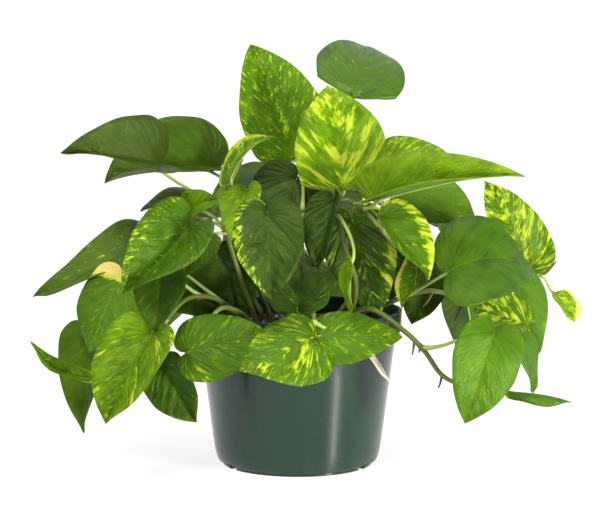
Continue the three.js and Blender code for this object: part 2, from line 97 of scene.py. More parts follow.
def joined(parts):
    """Several (points, faces, attributes) as one, with the faces renumbered."""
    faces = []
    first = 0
    for points, part_faces, _ in parts:
        faces += [[corner + first for corner in face] for face in part_faces]
        first += len(points)
    held = {label: np.concatenate([part[2][label] for part in parts]) for label in parts[0][2]}
    return np.concatenate([part[0] for part in parts]), faces, held


print("lengths are multiplied by", MM)

# %% [markdown]
# ## Sums with sockets
#
# A finish such as a variegated leaf is a few sums on noise, done again at every point of the
# surface. Node by node such sums are long to write and hard to read. So one small class wraps a
# socket and lets Python's own signs add the Math nodes: `1 - mask` is then a real expression.

# %% Socket helper
class Wire:
    """An output socket that can be used in sums. Each sum adds a Math node behind it."""

    def __init__(self, finish, socket):
        self.finish = finish
        self.socket = socket

    def output(self, key):
        """Another output of the same node."""
        return Wire(self.finish, self.socket.node.outputs[key])

    def maths(self, operation, *values):
        return self.finish.node("ShaderNodeMath", {"operation": operation}, dict(enumerate(values)))

    def __add__(self, other):
        return self.maths("ADD", self, other)

    def __sub__(self, other):
        return self.maths("SUBTRACT", self, other)

    def __rsub__(self, other):
        return self.maths("SUBTRACT", other, self)

    def __mul__(self, other):
        return self.maths("MULTIPLY", self, other)

    __radd__ = __add__
    __rmul__ = __mul__

    def size(self):
        return self.maths("ABSOLUTE", self)

    def sign(self):
        return self.maths("SIGN", self)

    def wave(self):
        return self.maths("SINE", self)

    def rise(self, low, high):
        """0 below low, 1 above high, and a smooth step between."""
        sockets = {"Value": self, "From Min": low, "From Max": high}
        return self.finish.node("ShaderNodeMapRange", {"interpolation_type": "SMOOTHSTEP"}, sockets)


print("sums:", ", ".join(name for name in vars(Wire) if not name.startswith("_")))

# %% [markdown]
# ## Nodes from one method
#
# A finish owns a node tree. Its node method makes any node from the node's type, its settings and
# what goes into its sockets. The other methods are short names for nodes that are used often.

# %% Node helper
class Finish:
    """A material, or a world, built up one node at a time."""

    def __init__(self, name, kept_in=bpy.data.materials):
        self.made = kept_in.new(name)
        self.made.use_nodes = True
        self.tree = self.made.node_tree
        self.tree.nodes.clear()

    def node(self, kind, settings=None, sockets=None):
        """Adds a node and gives its first output. A socket takes a plain value or a wire."""
        made = self.tree.nodes.new(kind)
        for key, value in (settings or {}).items():
            setattr(made, key, value)
        for key, value in (sockets or {}).items():
            if isinstance(value, Wire):
                self.tree.links.new(value.socket, made.inputs[key])
            else:
                made.inputs[key].default_value = value
        return Wire(self, made.outputs[0]) if made.outputs else None

    def attribute(self, label, key="Vector"):
        """A named number or vector that the mesh holds."""
        return self.node("ShaderNodeAttribute", {"attribute_name": label}).output(key)

    def split(self, vector):
        parts = self.node("ShaderNodeSeparateXYZ", None, {0: vector})
        return parts, parts.output(1), parts.output(2)

    def vector(self, x, y, z):
        return self.node("ShaderNodeCombineXYZ", None, {0: x, 1: y, 2: z})

    def place(self):
        """Where the point is on the object, in metres."""
        return self.node("ShaderNodeTexCoord").output("Object")

    def noise(self, where, scale, detail=2.0, rough=0.5):
        sockets = {"Vector": where, "Scale": scale, "Detail": detail, "Roughness": rough}
        return self.node("ShaderNodeTexNoise", None, sockets)

    def colour(self, mask, low, high):
        """low where the mask is 0, high where it is 1. Either may be a colour or a wire."""
        low, high = [c if isinstance(c, Wire) else (*c, 1.0) for c in (low, high)]
        return self.node("ShaderNodeMix", {"data_type": "RGBA"}, {0: mask, 6: low, 7: high}).output(2)

    def bump(self, height, strength, distance):
        sockets = {"Height": height, "Strength": strength, "Distance": distance}
        return self.node("ShaderNodeBump", None, sockets)

    def surface(self, sockets):
        return self.node("ShaderNodeBsdfPrincipled", None, sockets)

    def done(self, shader, output="ShaderNodeOutputMaterial"):
        self.node(output, None, {"Surface": shader})
        return self.made


print("nodes:", ", ".join(name for name in vars(Finish) if not name.startswith("_")))

# %% [markdown]
# ## Leaf green and yellow
#
# A pothos leaf is waxy, and its green runs from dark in an old leaf to lime in a young one, with
# some olive where it ages. The darkest green, nearly black, is painted shade for the leaves deep in
# the plant, and each leaf's tone is partly painted light: brighter for a leaf in the light. Cells
# without green show as pale flecks, streaks and whole sectors. They follow the veins, because the
# cells of one strip come from one parent cell.
# So the pattern is laid in the leaf's own map, along the margin and out from the midrib, and not in
# space: noise that is fine along the margin and coarse along a vein makes streaks, and finer noise
# breaks them into flecks. Each leaf has its own amount, tone and coarseness, held at its points,
# and a rare one has a cream heel round its notch.
#
# The skin swells softly between the side veins. Its wax shines green rather than white, so that a
# bright room doesn't wash the leaf out. Light also comes through a leaf from behind: a translucent
# share does that, larger in the yellow.

# %% Leaf finish
# The deepest green is partly painted shade, for the leaves deep inside the plant.
DEEP_GREEN_AND_SHADE = (0.010, 0.026, 0.001)
LEAF_GREEN = (0.042, 0.112, 0.001)
LIME = (0.180, 0.320, 0.001)
OLIVE = (0.060, 0.088, 0.004)
YELLOW = (0.480, 0.580, 0.030)
CREAM = (0.720, 0.580, 0.190)
UNDERSIDE = (0.110, 0.190, 0.030)
LIGHT_THROUGH = (0.200, 0.380, 0.002, 1.0)
LEAF_SHEEN = (0.700, 1.000, 0.350, 1.0)


def leaf_finish():
    """Reads vein, flat, leaf and habit, which blade() gives every point of a leaf."""
    leaf = Finish("variegated_leaf")
    along, out, seed = leaf.split(leaf.attribute("vein"))
    flat_x, flat_y, under = leaf.split(leaf.attribute("flat"))
    level, margin, tone_and_painted_light = leaf.split(leaf.attribute("leaf"))
    coarse, heel, olive = leaf.split(leaf.attribute("habit"))

    flecks = leaf.noise(leaf.vector(along * 62 + seed * 90, out * 4.5, seed * 31), 1.0, 3.0, 0.6)
    streaks = leaf.noise(leaf.vector(along * 24 + seed * 57, out * 1.3, seed * 13), 1.0, 3.0, 0.6)
    specks = leaf.noise(leaf.vector(flat_x + seed * 400, flat_y, seed * 70), 0.35, 3.0, 0.6)
    edging = margin.size() * (out * margin.sign() * 4 - 3.0 + specks).rise(0.0, 1.0)
    fine = flecks * 0.7 + specks * 0.3
    pattern = fine * (1 - coarse) + (streaks * 0.8 + flecks * 0.2) * coarse + level + edging
    lime = pattern.rise(0.590, 0.640)
    yellow = pattern.rise(0.640, 0.700)
    cream = pattern.rise(0.740, 0.860)
    heel_depth = heel - flat_x + streaks * 6 + flecks * 8

    mottle = leaf.noise(leaf.vector(flat_x + seed * 300, flat_y, seed * 20), 0.07, 2.0)
    # The leaf's tone is partly painted light and shade: lighter for a leaf in the light, darker inside the
    # plant.
    painted_shade_and_tone = tone_and_painted_light * 0.5 + 0.5 + (mottle - 0.5) * 0.5 + (flecks - 0.5) * 0.2
    painted_shade_and_tone = painted_shade_and_tone - (streaks - 0.5) * (coarse + 0.15)
    swell = (along * 100.0 + mottle * 2.5).wave()
    side_veins = swell.rise(0.85, 1.0)
    midrib = 1 - flat_y.size().rise(0.1, 0.6)
    green = leaf.colour(painted_shade_and_tone.rise(0.0, 0.5), DEEP_GREEN_AND_SHADE, LEAF_GREEN)
    green = leaf.colour(painted_shade_and_tone.rise(0.5, 1.0), green, LIME)
    green = leaf.colour(olive, green, OLIVE)
    green = leaf.colour(side_veins * 0.015 + midrib * 0.09, green, YELLOW)
    colour = leaf.colour(lime * 0.55, green, LIME)
    colour = leaf.colour(yellow * 0.85, colour, YELLOW)
    colour = leaf.colour(cream, colour, CREAM)
    colour = leaf.colour(heel_depth.rise(1.0, 3.0), colour, YELLOW)
    colour = leaf.colour(heel_depth.rise(3.0, 8.0), colour, CREAM)
    colour = leaf.colour(under * 0.55, colour, UNDERSIDE)

    pores = leaf.noise(leaf.vector(flat_x, flat_y, seed * 9), 1.2, 2.0)
    height = flecks * 1.2 + pores * 0.45 + mottle * 1.5 - swell * 0.22 - midrib * 0.6
    blade = leaf.surface({
        "Base Color": colour,
        "Roughness": 0.20 + (mottle - 0.5) * 0.25 + under * 0.28,
        "Specular IOR Level": 0.34,
        "Specular Tint": LEAF_SHEEN,
        "Normal": leaf.bump(height, 0.8, 0.0011),
    })
    through = leaf.node("ShaderNodeBsdfTranslucent", None, {"Color": LIGHT_THROUGH})
    share = 0.10 + yellow * 0.15
    mixed = leaf.node("ShaderNodeMixShader", None, {0: share, 1: blade, 2: through})
    return leaf.done(mixed)


LEAF = leaf_finish()
print("finish:", LEAF.name, len(LEAF.node_tree.nodes), "nodes")

# %% [markdown]
# ## Stems, stalks and roots
#
# The stalks are smooth and yellow-green. The stems are browner toward the soil, with pale lengthwise
# ridges and a dark ring at each joint, and the short aerial roots are brown and dry. All three come
# from one finish that reads how old the piece is at each point, from 0 at a stalk to 1 at a root.

# %% Stem finish
STALK_GREEN = (0.290, 0.390, 0.090)
STEM_OLIVE = (0.070, 0.105, 0.016)
BARK_BROWN = (0.085, 0.045, 0.018)


def stem_finish():
    stem = Finish("stem_and_stalk")
    age = stem.attribute("age", "Fac")
    across, beside, run = stem.split(stem.attribute("round"))
    ridges = stem.noise(stem.vector(across * 4.0, beside * 4.0, run * 0.06), 1.0, 2.0)
    patches = stem.noise(stem.vector(across, beside, run * 0.25), 1.0, 3.0, 0.6)
    brown = (age * 1.1 + patches * 0.5 - 0.74).rise(0.0, 0.55)
    olive = (age * 1.6 + patches * 0.5 - 0.40).rise(0.0, 0.5)
    colour = stem.colour(olive, STALK_GREEN, STEM_OLIVE)
    colour = stem.colour(brown, colour, BARK_BROWN)
    colour = stem.colour(ridges.rise(0.5, 0.75) * 0.25, colour, (0.20, 0.26, 0.06))
    rough = 0.42 + brown * 0.35
    return stem.done(stem.surface({
        "Base Color": colour,
        "Roughness": rough,
        "Specular IOR Level": 0.3,
        "Normal": stem.bump(ridges + patches * 0.5, 0.4, 0.0004),
    }))


STEM = stem_finish()
print("finish:", STEM.name, len(STEM.node_tree.nodes), "nodes")

# %% [markdown]
# ## Potting mix
#
# The mix is moist peat with chopped bark and a few white grains of perlite. Peat is nearly black and
# crumbly at every scale, so it gets three sizes of noise in its bump. The chips are reddish brown
# with a grain, and the perlite is chalk white with pits.

# %% Soil finishes
def peat_finish():
    peat = Finish("moist_peat")
    place = peat.place()
    crumbs = peat.noise(place, 260.0, 6.0, 0.7)
    damp = peat.noise(place, 28.0, 3.0)
    colour = peat.colour(crumbs.rise(0.35, 0.70), (0.008, 0.005, 0.004), (0.045, 0.024, 0.014))
    colour = peat.colour(damp.rise(0.45, 0.65) * 0.5, colour, (0.020, 0.011, 0.009))
    return peat.done(peat.surface({
        "Base Color": colour,
        "Roughness": 0.72 + crumbs * 0.25,
        "Normal": peat.bump(crumbs, 0.9, 0.002),
    }))


def chip_finish(name, dark, pale, rough, grain):
    """Bark or perlite: dark pits in a paler body, drawn out along one way by the grain."""
    chip = Finish(name)
    x, y, z = chip.split(chip.place())
    streaks = chip.noise(chip.vector(x, y * grain, z), 420.0, 4.0, 0.6)
    whole = chip.noise(chip.place(), 60.0, 1.0)
    colour = chip.colour((streaks * 0.6 + whole * 0.4).rise(0.35, 0.62), dark, pale)
    return chip.done(chip.surface({
        "Base Color": colour,
        "Roughness": rough + streaks * 0.15,
        "Normal": chip.bump(streaks, 0.7, 0.0008),
    }))


PEAT = peat_finish()
BARK = chip_finish("bark_chip", (0.022, 0.010, 0.006), (0.150, 0.068, 0.032), 0.70, 0.25)
PERLITE = chip_finish("perlite", (0.42, 0.40, 0.35), (0.80, 0.79, 0.74), 0.85, 1.0)
print("finishes:", PEAT.name, BARK.name, PERLITE.name)

# %% [markdown]
# ## Moulded plastic
#
# The pot is injection-moulded polypropylene, dark green and satin. Up close it has a very fine
# orange-peel skin, faint upright flow lines from the mould, fine scuffs, and a little dried peat and
# water scale that gathers under the collar and at the foot. All of that is weak: what the eye reads
# is the long upright reflection of a lamp. The fine lines that a turned mould leaves round the wall
# stretch it so, and an anisotropic sheen does the same here.

# %% Pot finish
POT_GREEN = (0.004, 0.026, 0.014)
POT_WORN = (0.014, 0.042, 0.028)
DUST = (0.070, 0.066, 0.052)


def pot_finish():
    pot = Finish("satin_green_plastic")
    place = pot.place()
    x, y, z = pot.split(place)
    skin = pot.noise(place, 900.0, 2.0)
    flow = pot.noise(pot.vector(x, y, z * 0.06), 60.0, 3.0)
    smears = pot.noise(place, 22.0, 4.0, 0.6)
    scuffs = pot.noise(pot.vector(x * 0.3, y * 0.3, z), 700.0, 2.0).rise(0.70, 0.76)
    dusty = smears.rise(0.48, 0.72) * (z.rise(0.094, 0.106) * 0.4 + (1 - z.rise(0.0, 0.016)) * 0.6)
    colour = pot.colour(flow.rise(0.35, 0.75) * 0.25, POT_GREEN, POT_WORN)
    colour = pot.colour(scuffs * 0.1, colour, POT_WORN)
    colour = pot.colour(dusty * 0.5, colour, DUST)
    return pot.done(pot.surface({
        "Base Color": colour,
        "Roughness": 0.25 + smears * 0.03 + dusty * 0.3 + scuffs * 0.04,
        "Specular IOR Level": 0.46,
        "Anisotropic": 0.9,
        "Anisotropic Rotation": 0.25,
        "Normal": pot.bump(skin * 0.6 + flow * 0.4, 0.10, 0.0005),
    }))


POT = pot_finish()
print("finish:", POT.name, len(POT.node_tree.nodes), "nodes")

# %% [markdown]
# ## The shape of one leaf
#
# All the blades share one outline, heart-shaped with a drawn-out tip. It is given by a few points
# of its right half for a blade one unit long, and a smooth line runs through them from the notch to
# the tip. A real blade is never flat: its halves fold up along the midrib, bow outward again, and
# the whole blade curls down toward its tip. So a leaf is the outline plus a width, a fold and a
# curl, as in the solid leaves of the frame. Some leaves have extras: the reach of their lobes, how
# slim they get toward the tip, how far the midrib bows sideways, how many millimetres of the midrib
# a pale heel covers, and a share of olive.

# %% Leaf outline and midrib
OUTLINE = [
    [-0.075, 0.03], [-0.12, 0.085], [-0.132, 0.16], [-0.1, 0.25], [-0.02, 0.335],
    [0.11, 0.39], [0.27, 0.405], [0.44, 0.385], [0.6, 0.325], [0.75, 0.235],
    [0.87, 0.135], [0.95, 0.055], [1, 0],
]
OUTLINE_WIDTH = 0.81
BLADE_CUP = 0.55
LOBES_END = 0.11
VEIN_LEAN = 1.3
VEIN_SWEEP = 0.3
RIB_X = np.linspace(-0.6, 1.0, 60)
NO_EXTRAS = {"lobes": 1, "slim": 0, "bow": 0, "heel": -50, "olive": 0}


def smooth_line(points, t):
    """Points at t (0 to 1) on the smooth line through the given ones."""
    p = np.asarray(points, float)
    last = len(p) - 1
    p = np.concatenate([[2 * p[0] - p[1]], p, [2 * p[-1] - p[-2]]])
    at = np.clip(np.asarray(t, float), 0, 1) * last
    i = np.minimum(at.astype(int), last - 1)
    f = (at - i)[..., None]
    a, b, c, d = p[i], p[i + 1], p[i + 2], p[i + 3]
    square, cube = 2 * a - 5 * b + 4 * c - d, 3 * b - a - 3 * c + d
    return 0.5 * (2 * b + (c - a) * f + square * f**2 + cube * f**3)


def unit(vector):
    return np.asarray(vector, float) / np.linalg.norm(vector)


class Leaf:
    """One leaf's place, bend and look, from its row."""

    def __init__(self, base, tip, face, width, fold, curl, join, look, extras=()):
        self.root = np.array(base, float)
        self.width = width
        self.fold = math.radians(fold)
        self.join = join
        self.look = look
        self.extras = {**NO_EXTRAS, **dict(extras)}
        self.length = np.linalg.norm(np.array(tip) - base)
        chord = unit(np.array(tip) - base)
        normal = unit(face - np.dot(face, chord) * chord)
        self.slope = math.radians(curl) * (0.45 * RIB_X + 0.55 * np.clip(RIB_X, 0, 1) ** 3)
        mean = (self.slope[1:] + self.slope[:-1]) / 2
        step = np.diff(RIB_X)
        self.along = np.concatenate([[0], np.cumsum(np.cos(mean) * step)])
        self.drop = np.concatenate([[0], np.cumsum(-np.sin(mean) * step)])
        self.along -= np.interp(0, RIB_X, self.along)
        self.drop -= np.interp(0, RIB_X, self.drop)
        tilt = math.atan2(self.drop[-1], self.along[-1])
        self.scale = self.length / math.hypot(self.drop[-1], self.along[-1])
        self.ahead = math.cos(tilt) * chord - math.sin(tilt) * normal
        self.up = math.sin(tilt) * chord + math.cos(tilt) * normal
        self.across = np.cross(normal, chord)

    def point(self, x, y):
        """Points of the blade at x along the midrib and y out from it, left negative."""
        rise = self.fold + BLADE_CUP * self.width / 4
        turned_down = rise - BLADE_CUP * np.abs(y)
        out = np.sign(y) * (math.sin(rise) - np.sin(turned_down)) / BLADE_CUP
        out = out + 4 * self.extras["bow"] * x * (1 - x)
        lift = (np.cos(turned_down) - math.cos(rise)) / BLADE_CUP
        slope = np.interp(x, RIB_X, self.slope)
        ahead = np.interp(x, RIB_X, self.along) + lift * np.sin(slope)
        up = np.interp(x, RIB_X, self.drop) + lift * np.cos(slope)
        shift = ahead[..., None] * self.ahead + up[..., None] * self.up + out[..., None] * self.across
        return self.root + self.scale * shift


sample = Leaf([0, 0, 0], [0, -90, 0], [0, 0, 1], 0.85, 12, 20, 0.5, [0.1, 0, 0, 0])
print("a leaf 90 mm long is", round(2 * sample.point(0.2, np.array(0.4))[0]), "mm wide")

# %% [markdown]
# ## One blade as a grid
#
# The rows of the grid are the side veins, which leave the midrib and sweep forward to the margin, so
# shading and relief run the way the real veins do. Corners that fall together, at the notch and at
# the tip, share one number. The margin is slightly scalloped, as no real leaf has a perfect edge.

# %% Blade grid
BLADE_ROWS = 60
BLADE_COLUMNS = 9
SCALLOP = 0.018


def blade_grid(leaf):
    """x, y, along and out of each corner, in rows from the notch, and where each row starts."""
    along = np.linspace(0, 1, BLADE_ROWS + 1)
    edge, half = smooth_line(OUTLINE, along).T
    half = half * (1 - leaf.extras["slim"] * np.clip(edge, 0, 1)) * leaf.width / OUTLINE_WIDTH
    edge = np.where(edge < LOBES_END, LOBES_END + (edge - LOBES_END) * leaf.extras["lobes"], edge)
    start = np.clip(edge - VEIN_LEAN * half, 0, 1)
    out = np.linspace(-1, 1, 2 * BLADE_COLUMNS + 1)
    reach = np.abs(out)
    x = start[:, None] * (1 - reach) + edge[:, None] * reach
    x = x - VEIN_SWEEP * (reach * (1 - reach)) * half[:, None]
    depth = SCALLOP * np.sin(9 * along + 17 * leaf.width)[:, None]
    y = half[:, None] * out * (1 + depth * np.sin(25 * along[:, None] + 2 * out))
    return x, y, np.broadcast_to(along[:, None], x.shape), np.broadcast_to(out, x.shape), start


def grid_numbers(start):
    """Point numbers of the grid, with the corners that fall together given one number."""
    rows, columns = BLADE_ROWS + 1, 2 * BLADE_COLUMNS + 1
    numbers = np.arange(rows * columns).reshape(rows, columns)
    for i in range(1, rows):
        if start[i] == start[i - 1]:
            numbers[i, BLADE_COLUMNS] = numbers[i - 1, BLADE_COLUMNS]
    numbers[-1, :] = numbers[-1, BLADE_COLUMNS]
    return numbers


def grid_faces(numbers):
    faces = []
    for i in range(numbers.shape[0] - 1):
        for j in range(numbers.shape[1] - 1):
            corners = [numbers[i, j], numbers[i + 1, j], numbers[i + 1, j + 1], numbers[i, j + 1]]
            face = list(dict.fromkeys(int(c) for c in corners))
            if len(face) > 2:
                faces.append(face)
    return faces


print("the grid of a blade has", len(grid_faces(grid_numbers(blade_grid(sample)[-1]))), "faces")

# %% [markdown]
# ## One blade as a sheet
#
# Three things are added that the plain blades of the frame leave out. The skin swells a little
# between the veins, the margin waves, and the sheet is slightly uneven, by two millimetres or so
# where they add up. The sheet then gets its thickness, with a thin rounded edge, and every point
# gets the numbers that the leaf finish reads.

# %% Blade mesh
BLADE_THICKNESS = 0.55
RIM_ROUND = 0.2
QUILT = 0.16
MARGIN_WAVE = 1.5
UNEVEN = 0.9
SIDE_VEINS = 9
PATTERN_SPREAD = 0.085
PATTERN_START = 0.12


def point_normals(points, faces):
    normals = np.zeros_like(points)
    for size in (3, 4):
        group = np.array([f for f in faces if len(f) == size])
        if len(group):
            first, second, third, last = (points[group[:, k]] for k in (0, 1, 2, -1))
            one, two = (third - first, last - second) if size == 4 else (second - first, third - first)
            facing = np.cross(one, two)
            for k in range(size):
                np.add.at(normals, group[:, k], facing)
    return normals / (np.linalg.norm(normals, axis=1)[:, None] + 1e-12)


def relief(along, out, phase):
    """How far the skin stands off the plain blade, in millimetres."""
    reach = np.abs(out)
    ends = np.clip(along / 0.12, 0, 1) * np.clip((1 - along) / 0.15, 0, 1)
    quilt = QUILT * (0.5 - 0.5 * np.cos(2 * np.pi * SIDE_VEINS * along)) * np.sin(np.pi * reach**0.8)
    side = np.where(out < 0, 0.37, 0.0)
    wave = MARGIN_WAVE * reach**2.5 * np.sin(2 * np.pi * (2.3 * along + phase + side))
    lumps = UNEVEN * np.sin(8 * along + 3 * out + 20 * phase) * np.sin(4 * reach + 8 * phase)
    return ends * (quilt + wave + lumps * reach)


def pattern_level(share):
    """How much to raise the leaf pattern so that this share of the blade turns yellow."""
    return PATTERN_SPREAD * NormalDist().inv_cdf(share) + PATTERN_START


def blade(leaf, phase):
    """Points, faces and named numbers of one blade."""
    x, y, along, out, start = blade_grid(leaf)
    numbers = grid_numbers(start)
    faces = grid_faces(numbers)
    points = leaf.point(x, y).reshape(-1, 3)
    normals = point_normals(points, faces)
    points = points + normals * relief(along, out, phase).reshape(-1, 1)
    normals = point_normals(points, faces)
    count = len(points)
    half = BLADE_THICKNESS / 2
    left, right = numbers[:, 0], numbers[::-1, -1]
    loop = list(dict.fromkeys(int(n) for n in [*left, *right, *numbers[0, 1:-1][::-1]]))
    edge = np.roll(points[loop], -1, axis=0) - np.roll(points[loop], 1, axis=0)
    outward = np.cross(edge, normals[loop])
    rim = points[loop] + RIM_ROUND * outward / (np.linalg.norm(outward, axis=1)[:, None] + 1e-12)
    skin = np.concatenate([points + half * normals, points - half * normals, rim])
    shell = [*faces, *[[corner + count for corner in face[::-1]] for face in faces]]
    for k, here in enumerate(loop):
        after = loop[(k + 1) % len(loop)]
        rim_here, rim_after = 2 * count + k, 2 * count + (k + 1) % len(loop)
        shell.append([after, here, rim_here, rim_after])
        shell.append([rim_after, rim_here, here + count, after + count])
    vein = np.stack([along.ravel(), out.ravel(), np.full(count, phase)], 1)
    flat = np.stack([x.ravel() * leaf.length, y.ravel() * leaf.length, np.zeros(count)], 1)
    under = flat + [0, 0, 1]
    # The tone carries painted light and shade as well as the leaf's own green.
    share, tone_and_painted_light, coarse, margin = leaf.look
    level = pattern_level(share)
    held = {
        "vein": np.concatenate([vein, vein, vein[loop]]),
        "flat": np.concatenate([flat, under, flat[loop]]),
        "leaf": np.tile([level, margin, tone_and_painted_light], (len(skin), 1)),
        "habit": np.tile([coarse, leaf.extras["heel"], leaf.extras["olive"]], (len(skin), 1)),
    }
    return skin, shell, held


sample_points, sample_faces, _ = blade(sample, 0.5)
print("a blade has", len(sample_points), "points and", len(sample_faces), "faces")

# %% [markdown]
# ## Round bars
#
# Stems, stalks and roots are bars: rings of points strung along a line and closed at both ends. The
# mix and the pot are stacks of rings too, so one function closes them all. Each point of a bar
# holds its age and its place round and along the bar, which the stem's finish reads.

# %% Round bars
def circle(sides):
    """The x and the y of points on the unit circle, as two columns."""
    turns = np.arange(sides)[:, None] * 2 * np.pi / sides
    return np.cos(turns), np.sin(turns)


def ring_body(rings, foot, head):
    """A closed body of rings, with one point to close it below the first and one above the last."""
    count, sides = len(rings), len(rings[0])
    here = np.arange(count * sides).reshape(count, sides)
    beside = np.roll(here, -1, axis=1)
    walls = np.stack([here[:-1], beside[:-1], beside[1:], here[1:]], axis=-1).reshape(-1, 4).tolist()
    foot_cap = [[count * sides, b, a] for a, b in zip(here[0], beside[0])]
    head_cap = [[count * sides + 1, a, b] for a, b in zip(here[-1], beside[-1])]
    return np.concatenate([*rings, [foot, head]]), walls + foot_cap + head_cap


def bar(line, radii, sides, age, run_from):
    """A round bar along a line, with its age and its place round and along at each point."""
    line = np.asarray(line, float)
    ahead = np.gradient(line, axis=0)
    ahead /= np.linalg.norm(ahead, axis=1)[:, None]
    guide = np.array([0, 0, 1.0]) if abs(ahead[0][2]) < 0.9 else np.array([1.0, 0, 0])
    across = np.cross(ahead[0], guide)
    x, y = circle(sides)
    rings = []
    for centre, radius, way in zip(line, radii, ahead):
        across = unit(across - np.dot(across, way) * way)
        rings.append(centre + radius * (x * across + y * np.cross(way, across)))
    foot, head = line[0] - 0.5 * radii[0] * ahead[0], line[-1] + 0.5 * radii[-1] * ahead[-1]
    points, faces = ring_body(rings, foot, head)
    run = run_from + np.concatenate([[0], np.cumsum(np.linalg.norm(np.diff(line, axis=0), axis=1))])
    around = [np.hstack([x, y, np.full_like(x, at)]) for at in run]
    around = np.concatenate([*around, [[0, 0, run[0]], [0, 0, run[-1]]]])
    ages = np.repeat(np.broadcast_to(age, len(line)), sides)
    return points, faces, {"age": np.append(ages, [ages[0], ages[-1]]), "round": around}


print("a short bar has", len(bar([[0, 0, 0], [0, 0, 9]], [1, 1], 8, 0.0, 0)[1]), "faces")

# %% [markdown]
# ## Stalks and stems
#
# A stalk leaves its stem in a short sheath, runs up and out, thickens again just under the blade,
# and goes on as the midrib along the blade's underside. So stalk and rib are one tapered bar along
# one line. A stem is a longer bar: straight in the soil, then bending over, and a little swollen at
# each joint where a stalk leaves. An aerial root is a short bar that sags.

# %% Stalks and stems
STALK_RADIUS = 1.3
STALK_SIDES = 8
STALK_STEPS = 16
SHEATH_SWELL = 0.75
KNEE_SWELL = 0.32
RIB_STEPS = 9
RIB_END = 0.86
STEM_FOOT = 90
FOOT_STEPS = 6
STEM_RADIUS = 2.4
STEM_TAPER = 0.28
STEM_SIDES = 12
JOINT_SWELL = 0.45
JOINT_LENGTH = 2.6
ROOT_SIDES = 7
ROOT_STEPS = 6


def growing_way(stem, share):
    """The way a stem points at this share of its length."""
    return unit(smooth_line(stem, share + 0.001) - smooth_line(stem, share - 0.001))


def swelling(t, middle, reach):
    """1 in the middle, falling off smoothly to almost nothing at twice its reach."""
    return np.exp(-(((t - middle) / reach) ** 2))


def stalk(leaf, stem, run_from):
    """The leaf stalk and the rib under the blade that it runs out into."""
    start = smooth_line(stem, leaf.join)
    span = np.linalg.norm(leaf.root - start)
    leaving = unit(0.6 * growing_way(stem, leaf.join) + 0.8 * unit(leaf.root - start))
    arriving = unit(0.7 * leaf.ahead + 0.6 * leaf.up)
    first, second = start + 0.35 * span * leaving, leaf.root - 0.33 * span * arriving
    end = leaf.point(np.array(0.02), np.array(0.0)) - 0.8 * leaf.up
    t = np.linspace(0, 1, STALK_STEPS)[:, None]
    curve = (1 - t) ** 3 * start + 3 * (1 - t) ** 2 * t * first
    curve = curve + 3 * (1 - t) * t**2 * second + t**3 * end
    x = np.linspace(0.06, RIB_END, RIB_STEPS)
    slope = np.interp(x, RIB_X, leaf.slope)[:, None]
    upward = np.sin(slope) * leaf.ahead + np.cos(slope) * leaf.up
    thin = np.linspace(0.85, 0.2, RIB_STEPS)
    rib = leaf.point(x, np.zeros_like(x)) - (0.1 + 0.6 * thin[:, None]) * upward
    t = t[:, 0]
    swell = SHEATH_SWELL * swelling(t, 0, 0.16) + KNEE_SWELL * swelling(t, 0.93, 0.06)
    radii = np.concatenate([STALK_RADIUS + swell - 0.1 * t, thin])
    age = np.concatenate([0.22 * swelling(t, 0, 0.12), np.zeros(RIB_STEPS)])
    return bar(np.concatenate([curve, rib]), radii, STALK_SIDES, age, run_from)


def stem_bar(stem, joins, run_from):
    t = np.linspace(0, 1, 10 * (len(stem) + 1))
    above = smooth_line(stem, t)
    x, y, top = above[0]
    foot = [[x, y, z] for z in np.linspace(STEM_FOOT, top - 3, FOOT_STEPS)]
    line = np.concatenate([foot, above])
    share = np.linspace(0, 1, len(line))
    length = np.linalg.norm(np.diff(above, axis=0), axis=1).sum()
    swell = np.zeros(len(line))
    for join in joins:
        swell[FOOT_STEPS:] += JOINT_SWELL * swelling(t, join, JOINT_LENGTH / length)
    radii = STEM_RADIUS * (1 - STEM_TAPER * share) + np.minimum(swell, 0.6) - 0.15
    age = 0.72 - 0.5 * share + 0.25 * np.minimum(swell / JOINT_SWELL, 1)
    return bar(line, radii, STEM_SIDES, age, run_from)


def root_bar(start, reach, radius, run_from):
    t = np.linspace(0, 1, ROOT_STEPS)[:, None]
    sag = np.array([0, 0, -0.12 * np.linalg.norm(reach)]) * (t * (1 - t)) * 4
    line = np.asarray(start) + t * np.asarray(reach) + sag
    return bar(line, radius * (1 - 0.55 * t[:, 0]), ROOT_SIDES, 1.0, run_from)


print("a stalk and its rib have", len(stalk(sample, [[0, 60, -40], [0, 70, 20]], 0)[1]), "faces")

# %% [markdown]
# ## A dry sheath
#
# A papery sheath hangs on one front stem. It wrapped a young leaf and has dried: straw-coloured,
# thin and ribbed, so it has the blade's shape but a finish of its own.

# %% Dry sheath finish
def dry_finish():
    dry = Finish("dry_papery_sheath")
    along, out, seed = dry.split(dry.attribute("vein"))
    ribs = dry.noise(dry.vector(out * 9, along * 2, seed * 5), 1.0, 2.0)
    return dry.done(dry.surface({
        "Base Color": dry.colour(ribs.rise(0.35, 0.65), (0.32, 0.30, 0.21), (0.56, 0.54, 0.43)),
        "Roughness": 0.55 + ribs * 0.2,
        "Normal": dry.bump(ribs, 0.6, 0.0005),
    }))


DRY = dry_finish()
print("finish:", DRY.name, len(DRY.node_tree.nodes), "nodes")

# %% [markdown]
# ## Growing a vine
#
# A vine becomes two pieces, its blades and its stem with all that grows on it, because they have
# different finishes. They take the place of the frame's plain vine, which is hidden. Most joints
# carry a stub of an aerial root on the shaded side. What differs from leaf to leaf by chance comes
# from a seeded draw, so that the plant is the same every time it is made.

# %% Vine pieces
STUB_LENGTH = 3.4
STUB_RADIUS = 1.0
DRY_WIDTH = 0.2
RUN_SPREAD = 900
draw = random.Random(11)


